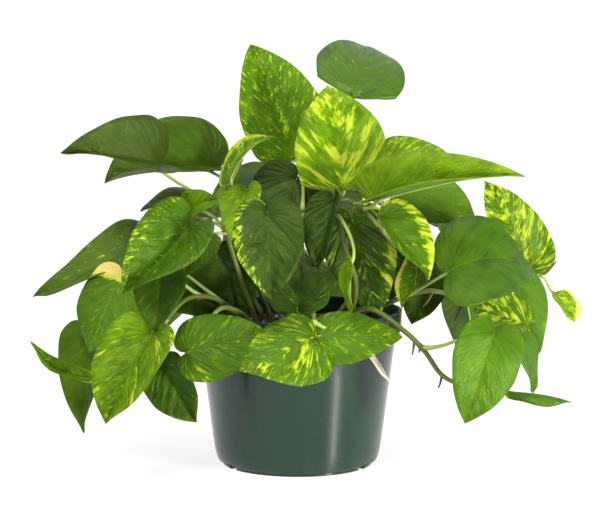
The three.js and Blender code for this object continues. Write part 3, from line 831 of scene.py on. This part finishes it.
def run_start():
    """Where a bar starts along the noise of its finish, so that no two bars look alike."""
    return draw.uniform(0, RUN_SPREAD)


def root_stub(stem, join):
    """Start and reach of a short aerial root that leaves the joint away from the light."""
    growth = growing_way(stem, join)
    down = np.array([draw.uniform(-0.6, 0.6), draw.uniform(-0.6, 0.6), -1.0])
    down = unit(down - np.dot(down, growth) * growth)
    reach = STUB_LENGTH * draw.uniform(0.7, 1.3) * unit(down + 0.5 * growth)
    return smooth_line(stem, join) + 1.2 * down, reach


def grow(name, stem, rows, roots=()):
    """Makes the pieces of one vine, from its stem's line, its leaf rows and the roots that show."""
    leaves = [Leaf(*row) for row in rows]
    blades, dry = [], []
    bars = [stem_bar(stem, [leaf.join for leaf in leaves], run_start())]
    for leaf in leaves:
        (dry if leaf.width < DRY_WIDTH else blades).append(blade(leaf, draw.random()))
        bars.append(stalk(leaf, stem, run_start()))
        if 0.1 < leaf.join < 0.97:
            bars.append(root_bar(*root_stub(stem, leaf.join), STUB_RADIUS, run_start()))
    for join, reach, radius in roots:
        bars.append(root_bar(smooth_line(stem, join), reach, radius, run_start()))
    for label, parts, finish in (("leaves", blades, LEAF), ("stem", bars, STEM), ("dry_sheath", dry, DRY)):
        if parts:
            points, faces, held = joined(parts)
            piece = make_piece(name.replace("vine", label), points, faces, finish, held)
    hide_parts(name)


print("a vine takes", LEAF.name, STEM.name, DRY.name)

# %% [markdown]
# ## All the vines
#
# Each call below grows one vine from the line of its stem, from the soil up, and a row for each leaf:
# its base, its tip, the way it faces, its width, fold and curl in degrees, the share of the stem below
# its stalk, its look, and its extras if it has any. The shapes are those that the frame's solids
# come from, so each fine blade lies where its plain one lay. A last list names the roots that show,
# each by its joint, its reach and its radius.
#
# A look is the share of pale pattern, the tone from dark (-1) to lime (1), how coarse the pattern
# is, and how pale the right margin is, or the left one when the number is negative. The tone is
# partly painted light and shade: leaves in the light get a brighter one, and those inside the plant
# a dark one.

# %% Vines at the left
grow("vine_upper_left", [
    [-22, 2, 116], [-30, -4, 140], [-42, -10, 180], [-52, -10, 205], [-56, -6, 222],
], [
    [[-106, -60, 241], [-173, -105, 251], [0, -0.8, 0.6], 0.9, 40, 18, 0.55, [0.02, -0.95, 0.1, 0],
     {"slim": 0.35, "lobes": 0.8, "olive": 0.25}],
    [[-67, 15, 230], [-151, 0, 221], [0, -0.6, 0.8], 1, 41, 35, 0.97, [0.02, -0.6, 0.1, 0],
     {"olive": 0.2}],
    [[-52, -46, 227], [-16, -42, 259], [-0.65, -0.35, 0.7], 0.5, 30, 75, 0.9, [0.3, 0.0, 0.5, 0.15]],
    [[-60, -27, 204], [-42, -14, 241], [-0.3, 0.85, 0.4], 0.45, 20, 10, 0.66, [0.05, -0.5, 0.2, 0]],
])
grow("vine_mid_left", [
    [-32, -28, 116], [-42, -38, 145], [-52, -46, 180], [-56, -52, 198],
], [
    [[-83, 16, 204], [-125, 24, 197], [0, -0.45, 0.9], 0.9, 12, 25, 0.7, [0.02, -0.8, 0.1, 0],
     {"olive": 0.4}],
    [[-85, -35, 205], [-61, -40, 212], [0, -0.8, 0.5], 0.95, 20, 15, 0.8, [0.25, 0.35, 0.4, 0]],
    [[-80, -78, 193], [-128, -120, 149], [0, -0.75, 0.65], 0.87, 36, 15, 0.9, [0.12, -0.3, 0.15, -0.06],
     {"bow": 0.05}],
    [[-69, -58, 185], [-85, -74, 156], [-0.2, -0.9, 0.3], 0.85, 10, 20, 0.75, [0.1, 0.2, 0.3, 0]],
    [[-39, -45, 218], [-44, -70, 178], [-0.35, -0.85, 0.3], 0.75, 25, 15, 0.99, [0.3, 0.45, 0.7, 0]],
])
grow("vine_far_left", [
    [-50, 0, 116], [-72, -8, 138], [-108, -24, 146], [-138, -36, 132], [-150, -42, 118],
], [
    [[-125, -15, 176], [-204, -35, 136], [0, -0.46, 0.89], 0.62, 17, 30, 0.45, [0.12, -0.3, 0.2, 0],
     {"slim": 0.42, "bow": 0.13, "olive": 0.45}],
    [[-133, -62, 155], [-156, -80, 100], [-0.2, -0.85, 0.35], 0.85, -8, 20, 0.55, [0.16, 0.0, 0.4, 0],
     {"heel": 0}],
    [[-160, -50, 109], [-163, -60, 34], [-0.5, -0.8, 0.2], 0.66, 18, 22, 0.97, [0.06, -0.2, 0.3, 0],
     {"slim": 0.45, "olive": 0.3}],
])
grow("vine_low_left", [
    [-42, -36, 116], [-52, -44, 128], [-64, -56, 138], [-82, -74, 140], [-97, -88, 126], [-102, -91, 110],
], [
    [[-106, -112, 119], [-140, -125, 54], [-0.5, -0.8, 0.2], 0.85, 22, 20, 0.8, [0.3, 0.3, 0.75, 0]],
    [[-101, -85, 164], [-103, -115, 120], [-0.1, -0.9, 0.4], 0.75, 12, 15, 0.5, [0.02, -0.5, 0.1, 0]],
    [[-102, -68, 88], [-76, -76, 46], [-0.45, -0.85, 0.3], 0.88, 22, 18, 0.99, [0.1, -0.4, 0.5, 0]],
    [[-161, -84, 82], [-198, -98, 111], [0.3, -0.8, 0.5], 0.32, 40, -10, 0.9, [0.05, 0.3, 0.2, 0],
     {"bow": 0.12}],
    [[-98, -38, 165], [-50, -44, 124], [-0.1, -0.8, 0.5], 0.98, 5, 12, 0.3, [0.03, -0.7, 0.2, 0]],
])
grow("vine_front_left", [
    [-34, -50, 116], [-44, -64, 128], [-57, -78, 133], [-68, -88, 122],
], [
    [[-82, -100, 103], [-22, -100, 118], [0, -0.92, 0.4], 0.84, -10, 15, 0.97, [0.22, -0.05, 0.8, 0]],
])

# %% [markdown]
# ## Vines in the middle
#
# One short vine leans over the collar at the front. Two stand upright: one fills the dark middle of
# the plant, and one carries the leaves at its top.

# %% Vines in the middle
grow("vine_front", [
    [8, -58, 116], [10, -70, 127], [12, -84, 129], [12, -92, 125],
], [
    [[12, -110, 116], [-42, -140, 96], [0, -0.78, 0.62], 1.05, -14, 18, 0.99, [0.36, -0.3, 0.7, 0],
     {"slim": 0.3, "bow": 0.04}],
    [[15, -98, 115], [78, -98, 114], [0.1, -0.8, 0.6], 0.7, -8, 12, 0.97, [0.25, -0.1, 0.7, 0]],
    [[0, -78, 132], [2, -46, 164], [0, -0.6, 0.8], 1.08, 12, 15, 0.6, [0.1, -0.6, 0.3, 0]],
    [[46, -94, 110], [68, -96, 81], [0.2, -0.9, 0.3], 0.16, 20, 10, 0.98, [0.02, 0, 0.1, 0]],
])
# These leaves sit in the plant's dark middle, and their dark tones are painted shade.
grow("vine_centre", [
    [-4, -22, 116], [-4, -36, 145], [-2, -48, 180], [4, -50, 205],
], [
    [[-22, -92, 205], [-19, -108, 144], [0.05, -0.97, 0.15], 0.84, 12, 30, 0.8, [0.03, -0.8, 0.3, -0.16],
     {"lobes": 1.3}],
    [[27, -67, 212], [16, -82, 162], [-0.6, -0.77, 0.2], 0.7, 38, 15, 0.9, [0.01, -0.8, 0.1, 0]],
    [[0, -20, 227], [-33, -36, 169], [-0.2, -0.9, 0.4], 0.9, 4, 15, 0.99, [0.02, -0.95, 0.1, 0]],
    [[-64, -12, 165], [-41, -28, 116], [0, -0.95, 0.3], 0.95, 8, 15, 0.35, [0.01, -0.9, 0.1, 0]],
])
grow("vine_top", [
    [10, 6, 116], [12, 6, 150], [14, 2, 200], [22, 6, 240], [30, 14, 265],
], [
    [[35, -45, 219], [23, -25, 298], [0, -0.97, 0.2], 0.8, 8, 12, 0.6, [0.5, 0.2, 0.85, 0],
     {"lobes": 0.3, "slim": -0.25, "bow": -0.03}],
    [[-4, 12, 239], [-37, 22, 329], [0.35, -0.9, 0.15], 0.7, 18, 10, 0.75, [0.3, 0.1, 0.2, 0],
     {"lobes": 0.6, "slim": -0.25}],
    [[44, 20, 287], [56, 95, 327], [0.25, -0.45, 0.86], 0.76, 8, 30, 0.99, [0.06, -0.25, 0.05, 0],
     {"lobes": 0, "slim": -0.35}],
    [[67, 28, 228], [122, 22, 240], [0, -0.8, 0.6], 0.95, 5, 15, 0.7, [0.42, 0.35, 0.2, 0]],
])

# %% [markdown]
# ## Vines at the right
#
# One vine arches, two trail outward over the collar, and one stands upright between them. The two
# that trail show longer aerial roots.

# %% Vines at the right
grow("vine_arching", [
    [40, -40, 116], [44, -66, 150], [36, -70, 178], [30, -66, 206], [38, -66, 213], [50, -64, 205],
    [64, -62, 190], [74, -62, 178],
], [
    [[60, -70, 214], [168, -95, 233], [0, -0.6, 0.8], 0.56, 44, 38, 0.7, [0.05, 0.5, 0.1, 0],
     {"slim": 0.45, "bow": -0.03, "olive": 0.2}],
    [[62, -96, 202], [96, -112, 158], [0.55, -0.72, 0.39], 0.85, 38, 20, 0.85, [0.16, -0.2, 0.7, 0.16]],
    [[39, -92, 169], [40, -99, 133], [-0.93, -0.36, 0.1], 0.6, 20, 8, 0.4, [0.2, 0.4, 0.6, 0]],
])
grow("vine_right", [
    [46, -24, 116], [68, -34, 130], [98, -54, 143], [134, -48, 138], [168, -30, 148], [190, -24, 152],
], [
    [[113, -100, 164], [178, -66, 158], [-0.05, -0.8, 0.6], 1, 4, 50, 0.3, [0.01, -0.4, 0.0, 0],
     {"bow": 0.1}],
    [[182, -8, 155], [145, -16, 224], [0.35, -0.9, 0.2], 0.64, 20, 15, 0.93, [0.5, -0.35, 0.7, 0]],
    [[173, -66, 119], [130, -76, 134], [0, -0.8, 0.6], 0.85, 5, 15, 0.7, [0.5, -0.3, 0.8, 0]],
    [[172, -46, 150], [186, -42, 93], [0.55, -0.83, 0.1], 0.56, 15, 12, 0.85, [0.04, 0.1, 0.2, 0],
     {"slim": 0.2}],
    [[200, -24, 138], [214, -34, 116], [0.6, -0.5, 0.6], 0.8, 20, 10, 0.99, [0.5, 0.4, 0.5, 0.3],
     {"lobes": 0, "slim": -1.2}],
], [
    [0.43, [-8, -6, -11], 1.3], [0.56, [-8, -7, -18], 1.3], [0.98, [12, -3, 11], 1.2],
])
grow("vine_low_right", [
    [28, -54, 116], [38, -62, 126], [56, -76, 132], [79, -90, 118], [94, -97, 104], [107, -97, 86],
    [122, -92, 78], [146, -86, 76],
], [
    [[145, -108, 119], [123, -118, 53], [0.15, -0.97, 0.1], 0.74, 8, 14, 0.55, [0.04, 0.05, 0.2, 0]],
    [[169, -86, 110], [177, -82, 69], [0.82, -0.55, 0.1], 0.62, 12, 12, 0.9, [0.05, 0.05, 0.2, 0]],
    [[163, -75, 69], [209, -60, 58], [0, -0.26, 0.97], 0.42, -30, 18, 0.99, [0.1, 0.0, 0.3, 0]],
], [
    [0.5, [-2, -5, -10], 1.2], [0.72, [-3, -4, -9], 1.1],
])
grow("vine_inner_right", [
    [50, -10, 116], [58, -14, 150], [64, -22, 185], [66, -28, 200],
], [
    [[42, -38, 197], [62, -46, 122], [-0.1, -0.97, 0.1], 0.7, 5, 12, 0.8, [0.12, -0.8, 0.8, 0.14]],
    [[68, -26, 195], [73, -22, 129], [0.4, -0.9, 0.1], 0.5, 15, 10, 0.97, [0.03, -0.7, 0.2, 0]],
    [[90, -76, 168], [78, -84, 134], [-0.75, -0.6, 0.2], 0.7, 15, 10, 0.9, [0.3, 0.1, 0.7, -0.2]],
    [[105, -30, 161], [88, -38, 115], [-0.3, -0.9, 0.2], 0.8, 10, 10, 0.6, [0.02, -0.8, 0.2, 0]],
    [[83, -25, 219], [137, -20, 198], [0.1, -0.9, 0.3], 0.75, 10, 20, 0.99, [0.05, -0.05, 0.2, 0],
     {"olive": 0.2}],
])

# %% [markdown]
# ## Vines out of sight
#
# The photograph shows one side only. The five vines at the back and at the sides are invented, with
# leaves of the same kind and size.

# %% Vines out of sight
grow("vine_back_left", [
    [-30, 30, 116], [-48, 52, 140], [-72, 80, 150], [-85, 104, 130],
], [
    [[-62, 70, 190], [-112, 118, 158], [-0.4, 0.5, 0.77], 0.9, 20, 25, 0.5, [0.08, 0, 0.3, 0]],
    [[-98, 104, 138], [-134, 134, 68], [-0.6, 0.75, 0.2], 0.85, 10, 20, 0.9, [0.15, 0.1, 0.5, 0]],
    [[-54, 128, 128], [-44, 146, 52], [0, 0.97, 0.2], 0.85, 12, 20, 0.97, [0.05, -0.1, 0.2, 0]],
    [[-104, 62, 160], [-166, 82, 122], [-0.5, 0.3, 0.75], 0.75, 15, 30, 0.6, [0.05, -0.2, 0.2, 0]],
])
grow("vine_back", [
    [2, 38, 116], [4, 56, 150], [2, 82, 172], [-2, 108, 158],
], [
    [[-14, 72, 222], [-58, 122, 196], [-0.3, 0.5, 0.8], 0.9, 15, 25, 0.5, [0.1, 0, 0.3, 0]],
    [[16, 100, 200], [38, 158, 152], [0.1, 0.6, 0.8], 0.9, 12, 20, 0.7, [0.4, 0.4, 0.6, 0]],
    [[-16, 132, 146], [-24, 154, 68], [0, 0.97, 0.2], 0.85, 10, 20, 0.97, [0.05, -0.1, 0.2, 0]],
    [[36, 122, 136], [48, 142, 62], [0.2, 0.95, 0.2], 0.8, 10, 15, 0.9, [0.25, 0.2, 0.5, 0]],
])
grow("vine_back_right", [
    [34, 26, 116], [56, 44, 140], [84, 62, 152], [108, 80, 134],
], [
    [[72, 52, 198], [126, 94, 172], [0.4, 0.4, 0.8], 0.9, 15, 25, 0.5, [0.1, 0.1, 0.2, 0]],
    [[124, 74, 150], [168, 98, 96], [0.7, 0.6, 0.4], 0.85, 12, 20, 0.85, [0.3, 0.3, 0.6, 0]],
    [[140, 78, 118], [150, 98, 56], [0.5, 0.85, 0.2], 0.85, 10, 18, 0.97, [0.05, 0, 0.2, 0]],
    [[78, 98, 162], [98, 150, 112], [0.3, 0.8, 0.6], 0.85, 15, 20, 0.75, [0.12, 0.1, 0.4, 0]],
])
grow("vine_side_right", [
    [50, 14, 116], [80, 20, 142], [118, 24, 146], [144, 26, 126],
], [
    [[116, 8, 182], [166, 26, 146], [0.3, -0.3, 0.9], 0.85, 15, 20, 0.55, [0.1, 0.2, 0.3, 0]],
    [[150, 34, 120], [168, 48, 56], [0.8, 0.4, 0.2], 0.85, 10, 20, 0.97, [0.15, 0.1, 0.5, 0]],
])
grow("vine_side_left", [
    [-46, 20, 116], [-78, 28, 142], [-112, 34, 140], [-132, 38, 122],
], [
    [[-99, 24, 183], [-155, 38, 152], [-0.3, 0.1, 0.9], 0.85, 15, 25, 0.5, [0.1, 0.1, 0.3, 0]],
    [[-134, 44, 122], [-152, 56, 52], [-0.7, 0.6, 0.2], 0.85, 10, 20, 0.97, [0.2, 0.1, 0.6, 0]],
    [[-120, 10, 140], [-142, 2, 88], [-0.8, -0.3, 0.2], 0.8, 10, 20, 0.8, [0.05, -0.1, 0.2, 0]],
])

# %% [markdown]
# ## The potting mix
#
# The top of the mix is a mound that settles to the wall, lumpy at the size of a fingertip. It is a
# stack of rings that goes up from the pot's floor, so that it also shows through the drain slots,
# and then in over the mound. The mound has the frame's own height formula with finer crumbs on it.

# %% Soil body
SOIL_EDGE = 106
SOIL_MOUND = 3
SOIL_RELIEF = 1.3
SOIL_CRUMBS = 0.45
SOIL_RADIUS = 75
SOIL_SETTLE = 12
SOIL_SKIRT = [[15, 9], [40, 9], [61.4, 9], [64.5, 22], [70, 60], [75, 101], [75.3, 104]]
SOIL_RINGS = 50
SOIL_EYE = 1.5
SOIL_SIDES = 120


def soil_height(x, y):
    r = np.hypot(x, y)
    rough = np.sin(0.23 * x + 1.3) * np.cos(0.19 * y - 0.6)
    rough = rough + 0.6 * np.sin(0.41 * x - 0.37 * y) + 0.4 * np.cos(0.67 * y + 0.29 * x)
    crumbs = np.sin(1.7 * x + 0.8 * y) * np.sin(1.9 * y - 0.5 * x)
    crumbs = crumbs + 0.6 * np.sin(3.3 * x) * np.cos(2.9 * y + 1)
    mound = SOIL_MOUND * (1 - (r / SOIL_RADIUS) ** 2)
    settle = np.minimum(1, (SOIL_RADIUS + 1 - r) / SOIL_SETTLE)
    return SOIL_EDGE + mound + settle * (SOIL_RELIEF * rough + SOIL_CRUMBS * crumbs)


def level_ring(sides, r, z):
    x, y = circle(sides)
    return np.hstack([r * x, r * y, np.full_like(x, z)])


def soil_body():
    x, y = circle(SOIL_SIDES)
    rings = [level_ring(SOIL_SIDES, r, z) for r, z in SOIL_SKIRT]
    for r in np.linspace(SOIL_RADIUS, SOIL_EYE, SOIL_RINGS):
        rings.append(np.hstack([r * x, r * y, soil_height(r * x, r * y)]))
    return ring_body(rings, [0, 0, SOIL_SKIRT[0][1]], [0, 0, soil_height(0, 0)])


points, faces = soil_body()
mix = make_piece("potting_mix", points, faces, PEAT)
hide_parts("soil")
print("potting mix:", len(mix.data.polygons), "faces")

# %% [markdown]
# ## Bark and perlite
#
# Chips of bark and grains of perlite lie on the mix and in it. Each is a small ball pressed flat and
# roughened by its own draw.

# %% Chips and grains
BARK_CHIPS = 240
PERLITE_GRAINS = 46
SCATTER_RADIUS = 72
CHIP_ROUGHNESS = 0.13
CHIP_TIP = 0.35
CHIP_RISE = 0.25


def crumb_ball():
    """A small ball of 42 corners, for chips and grains."""
    ball = bmesh.new()
    bmesh.ops.create_icosphere(ball, subdivisions=2, radius=1.0)
    corners = np.array([list(v.co) for v in ball.verts])
    faces = [[v.index for v in face.verts] for face in ball.faces]
    ball.free()
    return corners, faces


def scatter(count, sizes, flatness, seed):
    """Rough pressed balls at random places on the soil."""
    rng = np.random.default_rng(seed)
    corners, faces = crumb_ball()
    parts = []
    for _ in range(count):
        r, turn = SCATTER_RADIUS * math.sqrt(rng.random()), rng.random() * 2 * math.pi
        x, y = r * math.cos(turn), r * math.sin(turn)
        size = rng.uniform(*sizes)
        shape = corners * (1 + rng.normal(0, CHIP_ROUGHNESS, len(corners)))[:, None]
        shape = shape * [size, size * rng.uniform(0.45, 0.9), size * rng.uniform(*flatness)]
        spin, tip = rng.random() * 2 * math.pi, rng.normal(0, CHIP_TIP)
        across = np.array([math.cos(spin), math.sin(spin), 0])
        beside = np.array([-math.sin(spin), math.cos(spin), 0]) * math.cos(tip) + [0, 0, math.sin(tip)]
        shape = shape @ np.stack([across, beside, np.cross(across, beside)])
        parts.append((shape + [x, y, soil_height(x, y) + CHIP_RISE * size], faces, {}))
    return joined(parts)


points, faces, _ = scatter(BARK_CHIPS, (1.6, 4.6), (0.25, 0.5), 5)
make_piece("bark_chips", points, faces, BARK, smooth=False)
points, faces, _ = scatter(PERLITE_GRAINS, (0.9, 1.9), (0.6, 0.9), 8)
make_piece("perlite_grains", points, faces, PERLITE, smooth=False)
print("on the mix:", BARK_CHIPS, "chips and", PERLITE_GRAINS, "grains")

# %% [markdown]
# ## The pot
#
# A moulded pot is a turned shape: a profile of its wall, swept round the axis. The frame's profile
# has sharp corners, and a moulding has none, so each corner here is rounded by its own radius
# before the sweep.

# %% Pot profile
POT_HEIGHT = 122
COLLAR_RADIUS = 82.5
COLLAR_HEIGHT = 17
WALL_TOP_RADIUS = 78
WALL_BOTTOM_RADIUS = 65.3
FOOT_RADIUS = 59.5
FOOT_STEP = 2.2
GROOVE_DEPTH = 1.4
POT_WALL = 2
POT_FLOOR = 3
POT_SIDES = 160
CORNER_STEPS = 5


def pot_profile():
    """Radius, height and rounding of each corner, up the outside and down the inside."""
    collar_foot = POT_HEIGHT - COLLAR_HEIGHT
    return [
        [FOOT_RADIUS - 19, 0, 0.5], [FOOT_RADIUS - 18, GROOVE_DEPTH, 0.5],
        [FOOT_RADIUS - 7, GROOVE_DEPTH, 0.5], [FOOT_RADIUS - 6, 0, 0.5],
        [FOOT_RADIUS, 0, 0.7], [FOOT_RADIUS, FOOT_STEP, 0.5],
        [63, 3.4, 1.0], [WALL_BOTTOM_RADIUS, 10.4, 6], [WALL_TOP_RADIUS, collar_foot, 0.8],
        [COLLAR_RADIUS - 0.6, collar_foot + 0.1, 0.9], [COLLAR_RADIUS, POT_HEIGHT, 0.9],
        [COLLAR_RADIUS - 2.4, POT_HEIGHT, 0.9], [COLLAR_RADIUS - 2.8, collar_foot + 2, 1.5],
        [WALL_TOP_RADIUS - POT_WALL, collar_foot, 1.5], [WALL_BOTTOM_RADIUS - POT_WALL, 11, 4],
        [60.5, POT_FLOOR, 2],
    ]


def rounded(corners):
    """The profile with each corner turned into a curve, and an end on the axis at each side."""
    ends = [[0, corners[0][1]], [0, corners[-1][1]]]
    sharp = np.array([ends[0], *[corner[:2] for corner in corners], ends[1]], float)
    line = [ends[0]]
    for before, here, after, corner in zip(sharp, sharp[1:], sharp[2:], corners):
        back = min(corner[2], 0.45 * np.linalg.norm(before - here)) * unit(before - here)
        on = min(corner[2], 0.45 * np.linalg.norm(after - here)) * unit(after - here)
        line += [list(here + (1 - t) ** 2 * back + t**2 * on) for t in np.linspace(0, 1, CORNER_STEPS)]
    return line + [ends[1]]


def turned(line, sides):
    """A closed body swept round the axis from a line that starts and ends on it."""
    rings = [level_ring(sides, r, z) for r, z in line[1:-1]]
    return ring_body(rings, [0, 0, line[0][1]], [0, 0, line[-1][1]])


points, faces = turned(rounded(pot_profile()), POT_SIDES)
pot = make_piece("nursery_pot", points, faces, POT)
print("turned pot:", len(pot.data.polygons), "faces")

# %% [markdown]
# ## Drain slots
#
# The slots at the foot are cut out of the turned body with rounded blocks, which is how the mould's
# inserts leave them.

# %% Drain slots
SLOT_ANGLES = [-147, -33, 33, 147]
SLOT_SIZE = Vector((13, 9, 5.2)) * MM
SLOT_PLACE = Vector((FOOT_RADIUS + 1.5, 0, 1.8)) * MM
SLOT_ROUND = 1.2 * MM


def slot_block(angle):
    """A rounded block where a slot goes."""
    block = bmesh.new()
    bmesh.ops.create_cube(block, size=1.0)
    bmesh.ops.scale(block, vec=SLOT_SIZE, verts=block.verts)
    bmesh.ops.bevel(block, geom=list(block.edges), offset=SLOT_ROUND, segments=3, affect="EDGES")
    bmesh.ops.translate(block, vec=SLOT_PLACE, verts=block.verts)
    turn = Matrix.Rotation(math.radians(angle), 3, "Z")
    bmesh.ops.rotate(block, cent=(0, 0, 0), matrix=turn, verts=block.verts)
    mesh = bpy.data.meshes.new("slot_block")
    block.to_mesh(mesh)
    block.free()
    return add_object("slot_block", mesh)


def cut_slots(pot):
    """Cuts the slots one by one with blocks that are then thrown away."""
    for angle in SLOT_ANGLES:
        cutter = slot_block(angle)
        cut = pot.modifiers.new("slot", "BOOLEAN")
        cut.object = cutter
        cut.solver = "EXACT"
        bpy.context.view_layer.update()
        cut_pot = pot.evaluated_get(bpy.context.evaluated_depsgraph_get())
        made = bpy.data.meshes.new_from_object(cut_pot)
        pot.modifiers.clear()
        pot.data = made
        bpy.data.objects.remove(cutter)


cut_slots(pot)
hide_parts("pot")
print("pot with its slots:", len(pot.data.polygons), "faces")

# %% [markdown]
# ## Floor
#
# The plant stands on a white sheet that runs up behind it and glows a little, like a light table, so
# that its shadow almost drowns.

# %% Floor
SWEEP_SIDE = 9000
SWEEP_BACK = 1600
SWEEP_BEND = 1200
SWEEP_TOP = 3200
SHEET_GLOW = 0.82


def sweep_floor():
    """A floor that curves up into a wall far behind the plant."""
    bend = np.linspace(0, math.pi / 2, 16)
    line = [[-SWEEP_SIDE, 0.0]]
    line += [[SWEEP_BACK + SWEEP_BEND * math.sin(a), SWEEP_BEND - SWEEP_BEND * math.cos(a)] for a in bend]
    line.append([SWEEP_BACK + SWEEP_BEND, SWEEP_TOP])
    points = [[x, y, z] for y, z in line for x in (-SWEEP_SIDE, SWEEP_SIDE)]
    faces = [[2 * i, 2 * i + 1, 2 * i + 3, 2 * i + 2] for i in range(len(line) - 1)]
    sheet = Finish("glowing_white_sheet")
    grain = sheet.noise(sheet.place(), 40.0, 2.0)
    white = sheet.done(sheet.surface({
        "Base Color": sheet.colour(grain, (0.30, 0.30, 0.30), (0.34, 0.34, 0.34)),
        "Roughness": 0.9,
        "Specular IOR Level": 0.0,
        "Emission Color": (1.0, 1.0, 1.0, 1.0),
        "Emission Strength": SHEET_GLOW,
    }))
    return add_mesh("white_sweep", points, faces, white)


floor = sweep_floor()
print("floor:", floor.name)

# %% [markdown]
# ## Light
#
# The room is bright behind the plant and low down all round, which makes the pot's edges fade to
# white, and dim above the camera, which keeps the pot and the gaps between the leaves dark. One
# softbox hangs overhead, a little in front, and one stands at the front left: they give the leaves
# their colour and their sheen. A small low strip at the right is there for its reflection, which the
# pot's wall stretches upright.

# %% Light
MIDDLE = (0, 0, 0.16)
POT_MIDDLE = (0, 0, 0.06)
LAMP_WHITE = (1.0, 0.97, 0.87)
ROOM_BEHIND = 0.9
ROOM_IN_FRONT = 0.12


def lamp(name, place, aim, size, power):
    light = bpy.data.lights.new(name, "AREA")
    light.color = LAMP_WHITE
    light.shape = "RECTANGLE"
    light.size, light.size_y = size
    light.energy = power
    held = add_object(name, light)
    held.location = place
    held.rotation_euler = (Vector(aim) - Vector(place)).to_track_quat("-Z", "Y").to_euler()


def white_surround():
    """A room that is bright behind the plant and low down all round, and dim above the camera."""
    room = Finish("white_surround", bpy.data.worlds)
    x, y, z = room.split(room.node("ShaderNodeTexCoord").output("Generated"))
    bright = 1 - (1 - y.rise(-0.45, 0.15)) * z.size().rise(0.04, 0.11)
    strength = bright * (ROOM_BEHIND - ROOM_IN_FRONT) + ROOM_IN_FRONT
    sockets = {"Color": (1.0, 1.0, 1.0, 1.0), "Strength": strength}
    return room.done(room.node("ShaderNodeBackground", None, sockets), "ShaderNodeOutputWorld")


lamp("softbox_overhead", (0.0, -0.3, 1.45), MIDDLE, (0.9, 0.45), 12)
lamp("softbox_front", (-0.35, -1.1, 1.05), MIDDLE, (0.5, 0.4), 18)
lamp("strip_right", (0.73, -0.68, 0.10), POT_MIDDLE, (0.06, 0.20), 13)
bpy.context.scene.world = white_surround()
print("lamps:", ", ".join(light.name for light in bpy.data.lights))

# %% [markdown]
# ## Camera
#
# The camera stands 1.6 m away and looks a little down. Its lens was fitted to the pot's rim and foot
# as a focal length in pixels, which the sensor's width turns into millimetres. The standard view
# keeps the sheet white.

# %% Camera
PHOTO_WIDTH = 600
FOCAL_PIXELS = 2048
SENSOR = 36.0
CAMERA_PLACE = (0.002, -1.6, 0.340)
LOOK_DOWN = math.radians(6.2)

lens = bpy.data.cameras.new("camera")
lens.sensor_width = SENSOR
lens.lens = SENSOR * FOCAL_PIXELS / PHOTO_WIDTH
lens.clip_start, lens.clip_end = 0.01, 50
camera = add_object("camera", lens)
camera.location = CAMERA_PLACE
camera.rotation_euler = (math.pi / 2 - LOOK_DOWN, 0, 0)
bpy.context.scene.camera = camera
bpy.context.scene.view_settings.view_transform = "Standard"
print("camera:", round(lens.lens, 1), "mm lens,", round(math.degrees(LOOK_DOWN), 1), "degrees down")

# %% [markdown]
